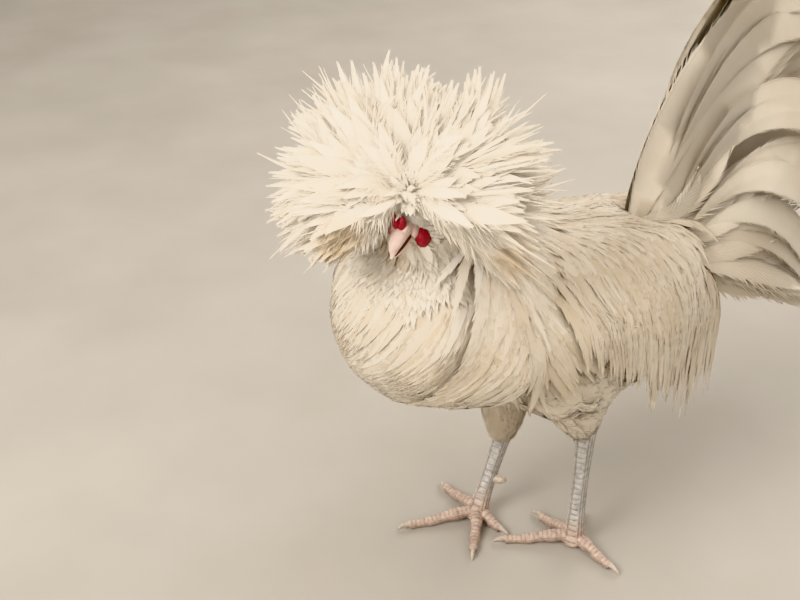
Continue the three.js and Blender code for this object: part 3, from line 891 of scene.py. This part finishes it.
def cover_rump():
    """The soft feathers that rise from the rump around the roots of the tail, and hang below it."""
    coat = Coat(6)
    grow(coat, "down", is_rump, 2.8, (26, 44), (8, 13), rump_flow, (1.0, 9.0), roll=24, cling=0.3)
    return coat.piece("rump_feathers")


# Crest: long frayed feathers that spring from a knob on the forehead, lie over one another like the
# petals of a rosette whose middle looks ahead and up, and part on either side of the bill

PARTING = (-38, 71)                # the open stretch around the face, in degrees from straight down
CREST_HALF = 109.0                 # how far the crest may reach to either side


def crest_way(around, tilt):
    """A direction: tilt degrees from the rosette's axis, around degrees from straight down the face."""
    around, tilt = np.radians(around)[..., None], np.radians(tilt)[..., None]
    flat = CREST_DOWN * np.cos(around) + CREST_SIDE * np.sin(around)
    return CREST_AXIS * np.cos(tilt) + flat * np.sin(tilt)


def crest_layer(coat, tufts, each, tilts, reach, width, droop=0.12, curl=0.16, opening=PARTING,
                gather=5.0, kind="crest", face=1.0):
    """Tufts of feathers; each starts at tilts[0] on the knob and bends out to tilts[1].

    The vanes face along the rosette's axis, or with face 0 straight out from the crest's middle."""
    open_from, open_to = opening
    around = (np.arange(tufts) + rng.random(tufts)) / tufts * (360 + open_from - open_to) + open_to
    start, end = vary(*tilts[0], tufts), vary(*tilts[1], tufts)
    size, sway = vary(0.88, 1.08, tufts), rng.normal(0, curl, tufts)
    around, start, end, size, sway = (np.repeat(v, each) for v in (around, start, end, size, sway))
    many = tufts * each
    around = around + rng.normal(0, gather, many)
    end = end + rng.normal(0, 5, many)
    sway = sway + rng.normal(0, 0.08, many)
    long = vary(*reach, many) * size * np.interp(around % 360, *CREST_OUTLINE)
    root = CREST_KNOB - CREST_AXIS * 11 + crest_way(around, start) * vary(6, 13, many)[:, None]
    steps = 10
    spines = [root]
    for k in range(steps):
        t = (k + 0.5) / steps
        swept = np.clip(around + np.degrees(sway) * t * 1.6, open_to - 4, 360 + open_from + 4)
        way = crest_way(swept, mix(start, end, min(1, t * 2.4)))
        way = unit(way + DOWN * droop * t**1.5)
        spines.append(spines[-1] + way * (long / steps)[:, None])
    spines = np.stack(spines, 1)
    over = np.abs(spines[..., 0] + SHIFT[0]).max(1) / CREST_HALF
    spines = root[:, None] + (spines - root[:, None]) / np.maximum(over, 1)[:, None, None]
    ups = CREST_AXIS * face + unit(spines - CREST_ROOT) * (1 - face) + rng.normal(0, 0.12, (many, 1, 3))
    coat.add(kind, spines, ups, vary(*width, many), skin_map.nearest(spines[:, 2])[2], roll=12)


def crest_out(p):
    return unit(unit(p - CREST_ROOT) * 0.3 + CREST_AXIS)


def crest_back():
    """The rear of the crest: feathers that fall back and down over the nape."""
    coat = Coat(7)
    crest_layer(coat, 40, 10, ((65, 100), (98, 122)), (0.8, 1.04), (14, 22), 0.35, 0.2, (-62, 66), face=0.35)
    crest_layer(coat, 36, 9, ((75, 120), (112, 138)), (0.8, 1.02), (15, 24), 0.6, 0.2, (-75, 78), face=0.1)
    dome = make_mesh("dome", *ball(CREST_ROOT + (4, -2, 4), (57, 57, 52), 24, 36))
    dome_map = SkinMap(dome.data)
    bpy.data.objects.remove(dome)
    fall = lambda p: unit(unit(p - CREST_KNOB) + DOWN * 0.7)
    grow(coat, "plume", is_crest_rear, 3.0, (56, 92), (14, 21), fall, (-24.0, 5.0), cling=0.7, droop=0.2,
         steps=10, over=dome_map, free=296)
    return coat.piece("crest_back", lambda p: unit(p - CREST_ROOT), 0.12)


def crest_front():
    """The rosette itself, long at its rim and laid in ever shorter rows towards the middle."""
    coat = Coat(8)
    crest_layer(coat, 20, 17, ((55, 85), (84, 102)), (0.86, 1.1), (13, 20), 0.14, 0.34, gather=2.4)
    crest_layer(coat, 22, 14, ((45, 72), (76, 92)), (0.74, 1.02), (15, 23), 0.12, 0.3, gather=3.2)
    crest_layer(coat, 22, 10, ((35, 60), (68, 84)), (0.5, 0.85), (17, 25), 0.1, 0.26, PARTING, 4.5, "plume")
    crest_layer(coat, 20, 8, ((20, 50), (62, 80)), (0.26, 0.55), (12, 19), 0.1, 0.3, PARTING, 6, "plume")
    crest_layer(coat, 60, 5, ((40, 85), (70, 100)), (0.7, 1.12), (3, 6), 0.14, 0.36, PARTING, 5, "wisp")
    crest_layer(coat, 10, 8, ((20, 60), (66, 84)), (0.09, 0.17), (5, 8), 0.0, opening=(70, 318))
    crest_layer(coat, 9, 6, ((5, 35), (45, 72)), (0.12, 0.22), (6, 10), 0.0, opening=(0, 0))
    crest_layer(coat, 7, 5, ((0, 14), (30, 58)), (0.11, 0.19), (6, 9), 0.0, opening=(0, 0))
    return coat.piece("crest_front", crest_out)


# Tail and flight feathers, laid on bowed lines

def bowed(root, bend, tip):
    t = np.linspace(0, 1, 23)[:, None]
    return np.asarray(root) * (1 - t)**2 + np.asarray(bend) * 2 * t * (1 - t) + np.asarray(tip) * t**2


def long_feather(coat, line, up, width, kind="quill", roll=3.0):
    root = skin_map.nearest(line[:1])[2]
    ups = np.broadcast_to(np.asarray(up, float), line.shape)
    coat.add(kind, line[None], ups[None], np.array([width]), root, roll)


SICKLES = (                        # root, bend, tip and width
    ((9, 100, 292), (26, 156, 494), (44, 268, 378), 30),
    ((17, 108, 276), (42, 152, 424), (56, 254, 304), 31),
    ((23, 116, 262), (52, 170, 364), (62, 242, 254), 30),
    ((27, 122, 250), (58, 182, 308), (64, 226, 204), 27),
)
LEADING = (                        # root, bend and tip of the feathers along the front edge
    ((5, 76, 250), (12, 92, 350), (20, 190, 446)),
    ((9, 84, 250), (18, 108, 346), (29, 206, 434)),
)


def cover_coverts():
    """The coverts: rows of broad feathers that lead from the rump up and out around the tail's roots."""
    coat = Coat(9)
    for i in range(170):
        hand = 1 if i % 2 else -1
        t = rng.random()
        rise = math.radians(mix(64, -30, t**1.3) + rng.normal(0, 5))
        out = hand * mix(0.1, 0.45, t)
        root = np.array([hand * mix(3, 30, t), mix(64, 124, t), mix(254, 216, t)]) + rng.normal(0, 4, 3)
        early = np.array([out, 1.0, 0.2])
        late = np.array([out, math.cos(rise), math.sin(rise)])
        long = rng.uniform(56, 108)
        line = bowed(root, root + early * long * 0.45, root + early * long * 0.28 + late * long * 0.75)
        up = (hand * mix(0.5, 1.0, t), -0.7 * (1 - t), 0.5)
        long_feather(coat, line, up, rng.uniform(17, 27), "broad", 10)
    return coat.piece("tail_coverts")


def on_fan(reach, rise, out):
    """A place so far from the tail's root, at the angle rise above level, and out to one side."""
    return TAIL_ROOT + (out, reach * math.cos(rise), reach * math.sin(rise))


def cover_tail():
    """On each side the fan, the leading feathers, an inner row and the sickles over them."""
    coat = Coat(10)
    for hand in (-1, 1):
        for t in np.linspace(0, 1, 8):
            rise = math.radians(mix(56, 26, t))
            spread = hand * mix(4, 20, t)
            reach = TAIL_LENGTH * mix(1.0, 0.82, t)
            root = TAIL_ROOT + (spread * 0.3, -20 * (1 - t), -14)
            line = bowed(root, on_fan(0.58 * reach, rise + 0.3, spread), on_fan(reach, rise, spread * 1.4))
            long_feather(coat, line, (hand, -0.1, 0.1), 50)
        for points in LEADING:
            for shade in range(2):
                push = np.array([1.5, 5.0, -5.0]) * shade
                line = bowed(*((np.array(q) + push) * (hand, 1, 1) for q in points))
                long_feather(coat, line, (hand * 0.85, -0.45, 0.25), 42)
        for t in np.linspace(0, 1, 5):
            rise = math.radians(mix(55, 30, t))
            reach = TAIL_LENGTH * mix(0.93, 0.8, t)
            bend, tip = on_fan(0.55 * reach, rise + 0.25, hand * 3), on_fan(reach, rise, hand * 6)
            long_feather(coat, bowed(TAIL_ROOT - (0, 14, 14), bend, tip), (hand * 0.8, 0.5, -0.25), 40)
        for *points, width in SICKLES:
            for shade in range(3):
                push = np.array([hand * 2.0 * shade, rng.normal(0, 5), rng.normal(0, 6) - 8 * shade])
                root, bend, tip = (np.array(q) * (hand, 1, 1) for q in points)
                line = bowed(root + push * 0.4, bend + push, tip + push * 1.4)
                long_feather(coat, line, (hand, 0.25, 0.3), width * rng.uniform(0.85, 1.0))
    return coat.piece("tail_feathers")


# Bill, comb, wattles and eyes

BILL_ROOT = -HEAD_LENGTH / 2 - 0.3


def bill_upper():
    front, tip = BILL_ROOT, BILL_ROOT - BILL_LENGTH
    stations = [
        (0, front + 3, 1.0, 6.4, 5.6), (0, front, 1.4, 6.2, 5.3), (0, front - 7, 1.6, 5.2, 4.7),
        (0, front - 14, 0.4, 3.6, 3.5), (0, tip + 3, -2.4, 1.9, 2.1), (0, tip, -4.8, 0.5, 0.6),
    ]
    points, faces = loft(stations, 40, 40)
    ridge = np.exp(-(points[:, 0] / 1.3)**2) * (points[:, 2] > 0)
    points[:, 2] += 0.5 * ridge
    mouth = points[:, 2] < -2.2
    points[mouth, 2] = -2.2 + (points[mouth, 2] + 2.2) * 0.35
    return on_head(points), faces


def bill_lower():
    front = BILL_ROOT
    stations = [
        (0, front + 3, -6.4, 5.4, 2.8), (0, front, -6.2, 5.2, 2.7), (0, front - 8, -5.6, 4.3, 2.4),
        (0, front - 14, -5.2, 2.9, 1.8), (0, front - 18, -5.2, 0.9, 0.7),
    ]
    points, faces = loft(stations, 30, 32)
    return on_head(points), faces


def gape():
    """A dark sliver along the mouth, from near the bill's tip back to the corners: painted shade in the
    crease between the mandibles, in the mouth's dark reddish brown.
    """
    front = BILL_ROOT
    line = [
        (0, front + 2, -3.1, 6.2, 0.5), (0, front, -3.1, 6.0, 0.5), (0, front - 7, -3.1, 5.0, 0.5),
        (0, front - 13, -3.5, 3.5, 0.5), (0, front - 17, -4.4, 1.6, 0.4),
    ]
    parts = [loft(line)]
    for hand in (-1, 1):
        corner = [
            (hand * 5.2, front, -3.1, 0.9, 0.5), (hand * 6.6, front + 3, -3.0, 0.9, 0.5),
            (hand * 8.0, front + 5.5, -2.8, 0.8, 0.5),
        ]
        parts.append(loft(corner, 12, 12))
    points, faces = merged(parts)
    return on_head(points), faces


def nostril_lump(hand):
    """The raised nostril and soft skin beside the comb."""
    points, faces = ball((hand * 3.6, -24.5, 4.2), (2.6, 4.6, 3.0), 16, 20)
    slit = np.exp(-((points[:, 1] + 26)**2 / 3 + (points[:, 2] - 4.6)**2 / 0.5))
    points[:, 0] -= hand * 1.1 * slit * (points[:, 0] * hand > 3.6)
    return on_head(points), faces


def cheek(hand):
    """Bare pinkish skin at the corner of the mouth."""
    points, faces = ball((hand * 6.6, -20.2, -2.4), (2.3, 4.6, 4.4), 16, 20)
    return on_head(points), faces


def pebbled(points, size, depth):
    """Raises small round pebbles on a surface, along the way out from its middle."""
    way = unit(points - points.mean(0))
    p = points / size
    wave = np.sin(p[:, 0] * 6.1 + 1.3) * np.sin(p[:, 1] * 5.7) * np.sin(p[:, 2] * 6.3 + 0.7)
    return points + way * (depth * (0.5 + wave))[:, None]


def comb():
    """Two short horns, the left one lower."""
    parts = []
    for hand, tall in ((-1, 1.0), (1, 0.8)):
        middle, high, top = (mix(4.2, z, tall) for z in (9, 13.6, 16.6))
        stations = [
            (hand * 1.3, -24.6, 4.0, 2.7, 3.3), (hand * 1.7, -25.2, middle, 2.5, 3.1),
            (hand * 2.5, -24.8, high, 1.8, 2.3), (hand * 3.1, -24, top, 0.4, 0.5),
        ]
        points, faces = loft(stations)
        parts.append((on_head(pebbled(points, 2.4, 0.35)), faces))
    return merged(parts)


def wattle(hand):
    back = 1.5 - 1.5 * hand
    stations = [
        (hand * 7.0, back - 17.2, -3.4, 2.4, 3.2), (hand * 9.3, back - 18, -7.5, 4.3, 5.6),
        (hand * 10.2, back - 18, -12, 4.2, 5.7), (hand * 9.8, back - 17.6, -16.2, 1.0, 1.8),
    ]
    points, faces = loft(stations, 36, 36)
    return on_head(pebbled(points, 2.6, 0.5)), faces


EYE_RADIUS = 5.25
EYE_CENTRE = np.array([12.2, -5.5, 4.0])


def eye(name, hand):
    centre = EYE_CENTRE * (hand, 1, 1)
    points, faces = ball((0, 0, 0), (1, 1, 1), 28, 36)
    way = unit(np.array([hand, -0.25, 0.1]))
    off = np.arccos(np.clip(unit(points) @ way, -1, 1)) / 1.05
    bulge = 1 + 0.06 * np.exp(-(off / 0.5)**2)
    shaped = points * (EYE_RADIUS * np.array([0.74, 1, 1])) * bulge[:, None]
    maps = {"Iris": np.stack([np.clip(off, 0, 1), off * 0], 1)}
    piece = make_mesh(f"eyeball_{name}", on_head(shaped + centre), faces, maps)
    finish_piece(piece, eye_look, "eye", f"eye_{name}")


def eyelid(hand):
    """A pinkish ring of bare skin around the eye."""
    sides, tube = 40, 12
    around, ring = (np.linspace(0, 2 * np.pi, count, endpoint=False) for count in (sides, tube))
    a, b = np.meshgrid(around, ring, indexing="ij")
    wide = 5.0 + np.cos(b)
    points = np.stack([hand * (1.9 + 0.8 * np.sin(b)), wide * np.cos(a), 0.82 * wide * np.sin(a)], -1)
    points = points.reshape(-1, 3) + EYE_CENTRE * (hand, 1, 1)
    return on_head(points), ring_faces(sides, tube, closed=True)[:, ::-hand]


# Bare legs: one skin over shank and toes, with scutes down the front and small scales behind

SMALL_SCALE = 2.3                  # size of the small scales behind
SHANK_HALF = 6.9
TOE_HALF = 4.75
KNUCKLES = 3
CLAW = (                           # along, height and half sizes
    (-13, 3.7, 2.3, 2.5), (-8, 4.5, 1.9, 2.2), (-3, 3.2, 1.3, 1.5), (0, 0.9, 0.3, 0.4),
)


def toe_ways(degrees, hand):
    """A toe's way ahead and its side, both level."""
    angle = math.radians(degrees) * hand
    return np.array([math.sin(angle), -math.cos(angle), 0]), (math.cos(angle), math.sin(angle), 0)


def leg_lines(leg):
    """Centre lines of shank and toes: stations and the way to one side."""
    hand, hock, foot = leg["hand"], np.array(leg["hock"], float), np.array(leg["foot"], float)
    top = mix(hock, foot, leg["bare_from"] - 0.12)
    shank = [(*top, SHANK_HALF * 1.1, SHANK_HALF * 1.25)]
    for t, wide, deep in ((0.15, 0.98, 1.1), (0.4, 0.84, 0.98), (0.68, 0.84, 0.98), (0.9, 1.08, 1.12)):
        shank.append((*mix(top, foot, t), SHANK_HALF * wide, SHANK_HALF * deep))
    shank.append((foot[0], foot[1], 4.6, SHANK_HALF * 1.25, SHANK_HALF * 1.2))
    lines = [(shank, (1, 0, 0))]
    for degrees, length in leg["toes"]:
        ahead, side = toe_ways(degrees, hand)
        stations = []
        for t in np.linspace(0, 1, 14):
            swell = 1 + 0.1 * math.cos(2 * math.pi * KNUCKLES * t)
            wide = TOE_HALF * mix(1.12, 0.66, t) * swell
            arch = mix(6.2, 3.2, float(ramp(t, 0, 0.8))) + 1.5 * math.sin(math.pi * min(1, t * 1.4))
            spot = foot + ahead * mix(0, length - 10, t)
            stations.append((spot[0], spot[1], arch, wide, wide * 1.02))
        lines.append((stations, side))
    return lines


def groove_pattern(points, lines):
    """0 in the grooves between scales and 1 on their middles, from the nearest centre line."""
    best = np.full(len(points), 1e9)
    value = np.ones(len(points))
    for index, (stations, side) in enumerate(lines):
        on_shank = index == 0
        table = catmull(stations, np.linspace(0, 1, 60))
        centre = table[:, :3]
        run = np.concatenate([[0], np.cumsum(np.linalg.norm(np.diff(centre, axis=0), axis=1))])
        away = np.linalg.norm(points[:, None] - centre[None], axis=2)
        spot = away.argmin(1)
        tangent = unit(np.gradient(centre, axis=0))[spot]
        out = points - centre[spot]
        along = run[spot] + (out * tangent).sum(1)
        front = np.array([0.0, -1.0, 0.0]) if on_shank else np.array([0.0, 0.0, 1.0])
        front = unit(front - tangent * (tangent @ front)[:, None])
        cross = np.cross(tangent, front)
        angle = np.arctan2((out * cross).sum(1), (out * front).sum(1))
        pitch = 5.2 if on_shank else 3.6
        row = np.abs(((along / pitch + 0.5 * (angle > 0) * on_shank) % 1) - 0.5) * 2
        seam = np.clip(np.abs(angle) * 4, 0, 1) if on_shank else 1.0
        plates = np.minimum(1 - row**4, seam)
        across, step = angle * 6 / SMALL_SCALE, along / SMALL_SCALE
        lattice = np.cos(np.pi * (across + step * 1.7)) * np.cos(np.pi * (across - step * 1.7)) * 1.5
        hexes = np.clip(0.5 + 0.25 * (np.cos(2 * np.pi * across) + lattice), 0, 1)
        scales = mix(plates, hexes, ramp(np.abs(angle), 0.95, 1.2))
        closeness = away.min(1) / table[spot, 3]
        value = np.where(closeness < best, scales, value)
        best = np.minimum(best, closeness)
    return value


def make_leg(name, leg):
    lines = leg_lines(leg)
    parts = [loft(stations, 60, 20, side) for stations, side in lines]
    foot = leg["foot"]
    parts.append(ball((foot[0], foot[1], 4.6), (10.5, 10.5, 6.2), 14, 24))
    points, faces = merged(parts)
    points[:, 2] = np.maximum(points[:, 2], 0.35)
    piece = make_mesh(f"leg_{name}", points, faces)
    voxel_skin(piece, 0.75, 4)
    points, normals = mesh_arrays(piece.data)
    value = groove_pattern(points, lines)
    points = points + normals * (0.75 * (value - 0.6))[:, None]
    points[:, 2] = np.maximum(points[:, 2], 0.05)
    set_points(piece.data, points)
    layer = piece.data.uv_layers.new(name="Groove")
    corners = pulled(piece.data.loops, "vertex_index", 1, np.int32)[:, 0]
    layer.uv.foreach_set("vector", np.stack([value, value], 1)[corners].astype(np.float32).ravel())
    toes = [f"toe_{k}_{name}" for k in range(1, 5)]
    finish_piece(piece, scale_look, "scale_skin", f"shank_{name}", *toes)


def make_claws(name, leg):
    foot, hand = np.array(leg["foot"], float), leg["hand"]
    parts = []
    for degrees, length in leg["toes"]:
        ahead, side = toe_ways(degrees, hand)
        spots = [foot + ahead * (length + along) for along, *_ in CLAW]
        stations = [(spot[0], spot[1], *sizes) for spot, (_, *sizes) in zip(spots, CLAW)]
        parts.append(loft(stations, 24, 20, side))
    x, y, z = mix(np.array(leg["hock"], float), foot, 0.7)
    spur = [
        (x, y + 2, z, 4.2, 4.2), (x - hand * 5, y + 6, z + 0.5, 4.0, 4.0),
        (x - hand * 9, y + 9.5, z + 1, 3.3, 3.3), (x - hand * 10.6, y + 10.9, z + 1.2, 1.0, 1.0),
    ]
    parts.append(loft(spur, side=(0, 0, 1)))
    piece = make_mesh(f"claws_{name}", *merged(parts))
    claws = [f"claw_{k}_{name}" for k in range(1, 5)]
    finish_piece(piece, claw_look, "horn", f"spur_{name}", *claws)


# Floor, light and camera

def stage():
    size = 9000.0
    corners = np.array([[-size, -size, 0], [size, -size, 0], [size, size, 0], [-size, size, 0]])
    floor = make_mesh("floor", corners, [[0, 1, 2, 3]])
    tones = (0.44, 0.41, 0.37), (0.50, 0.47, 0.43)
    floor.data.materials.append(grained("floor", 0.75, 0.25, 5, tones, detail=5))


def soft_light(name, at, aim, size, power, colour):
    data = bpy.data.lights.new(name, "AREA")
    data.shape = "DISK"
    data.size = size
    data.energy = power
    data.color = colour
    lamp = bpy.data.objects.new(name, data)
    bpy.context.scene.collection.objects.link(lamp)
    lamp.location = at
    lamp.rotation_euler = (Vector(aim) - Vector(at)).to_track_quat("-Z", "Y").to_euler()


def light():
    soft_light("key", (0.2, -1.5, 1.35), (0, -0.05, 0.2), 0.9, 18, (1.0, 0.965, 0.91))
    soft_light("top", (0.3, 0.1, 1.9), (0, 0, 0.2), 1.5, 11, (1.0, 0.965, 0.92))
    soft_light("front", (0.9, -2.0, 1.1), (0, -0.1, 0.2), 1.4, 10, (1.0, 0.96, 0.90))
    soft_light("fill", (1.5, 0.2, 0.8), (0, 0, 0.2), 1.4, 4, (1.0, 0.95, 0.88))
    soft_light("back", (-1.1, 1.5, 1.4), (0, 0, 0.25), 1.4, 20, (1.0, 0.96, 0.91))
    world = bpy.data.worlds.new("room")
    world.use_nodes = True
    world.node_tree.nodes["Background"].inputs["Color"].default_value = (0.86, 0.79, 0.69, 1)
    world.node_tree.nodes["Background"].inputs["Strength"].default_value = 0.62
    bpy.context.scene.world = world
    bpy.context.scene.view_settings.view_transform = "Khronos PBR Neutral"
    bpy.context.scene.view_settings.exposure = 0.12


def photo_camera():
    tilt, roll, heading = (math.radians(v) for v in (TILT, ROLL, HEADING))
    forward = np.array([0, math.cos(tilt), -math.sin(tilt)])
    down = np.array([0, -math.sin(tilt), -math.cos(tilt)])
    right = np.array([1.0, 0, 0])
    turned = down * math.cos(roll) + right * math.sin(roll)
    right, down = right * math.cos(roll) - down * math.sin(roll), turned
    bird = np.array([
        [math.sin(heading), -math.cos(heading), 0], [math.cos(heading), math.sin(heading), 0], [0, 0, 1]])
    axes = np.stack([bird @ right, bird @ -down, bird @ -forward], 1)
    data = bpy.data.cameras.new("camera")
    data.lens = LENS
    data.sensor_width = SENSOR
    camera = bpy.data.objects.new("camera", data)
    bpy.context.scene.collection.objects.link(camera)
    pose = Matrix(axes.tolist()).to_4x4()
    pose.translation = Vector((CAMERA_AT + SHIFT) * MM)
    camera.matrix_world = pose
    bpy.context.scene.camera = camera


# Putting it together

# The last colour of each look is the painted shade at its feathers' roots; the one before is the darkest of
# the feathers' own random tones.
body_look = plumage_material("body_plumage", 0.7, 120, 0.25, 0.3, (0.95, 0.93, 0.9), (0.94, 0.92, 0.88))
long_look = plumage_material("long_plumage", 0.5, 260, 0.3, 0.4, (0.84, 0.78, 0.69), (0.70, 0.60, 0.47))
crest_look = plumage_material("crest_plumage", 0.65, 160, 0.3)
quill_look = plumage_material("tail_plumage", 0.5, 700, 0.25, 0.4, (0.95, 0.93, 0.90), (0.97, 0.95, 0.91))
horn_look = horn_material()
claw_look = claw_material()
gape_shade_look = gape_shade_material()
red_look = red_material()
scale_look = scale_material()
eye_look = eye_material()

skin = make_skin()
finish_piece(skin, skin_material(), "plumage", *FLESH)
skin_map = SkinMap(skin.data)
cape = fused("cape", ["trunk", "neck", "saddle", "wing_left", "wing_right"], 6.0, 26)
cape_map = SkinMap(cape.data)
bpy.data.objects.remove(cape)

sickles = [f"sickle_{k}_{side}" for k in range(1, 5) for side in ("left", "right")]
for cover, look, nodes in (
    (cover_body, body_look, ()), (cover_fluff, body_look, ()), (cover_neck, long_look, ()),
    (cover_shoulders, long_look, ()), (cover_saddle, long_look, ("saddle",)),
    (cover_wings, body_look, ()), (crest_front, crest_look, ("crest",)), (crest_back, crest_look, ()),
    (cover_rump, body_look, ()), (cover_coverts, body_look, ()),
    (cover_tail, quill_look, ("tail_fan", *sickles)),
):
    finish_piece(cover(), look, "plumage", *nodes)

finish_piece(make_mesh("bill_top", *bill_upper()), horn_look, "horn", "bill_upper")
finish_piece(make_mesh("bill_bottom", *bill_lower()), horn_look, "horn", "bill_lower")
finish_piece(make_mesh("gape", *gape()), gape_shade_look, "horn")
soft_face = merged([part(hand) for part in (nostril_lump, cheek, eyelid) for hand in (1, -1)])
finish_piece(make_mesh("face_skin", *soft_face), horn_look, "horn")
finish_piece(make_mesh("comb_red", *comb()), red_look, "red_skin", "comb")
for side, hand in (("left", 1), ("right", -1)):
    finish_piece(make_mesh(f"cheek_{side}", *wattle(hand)), red_look, "red_skin", f"wattle_{side}")
    eye(side, hand)
    make_leg(side, LEGS[side])
    make_claws(side, LEGS[side])

stage()
light()
photo_camera()
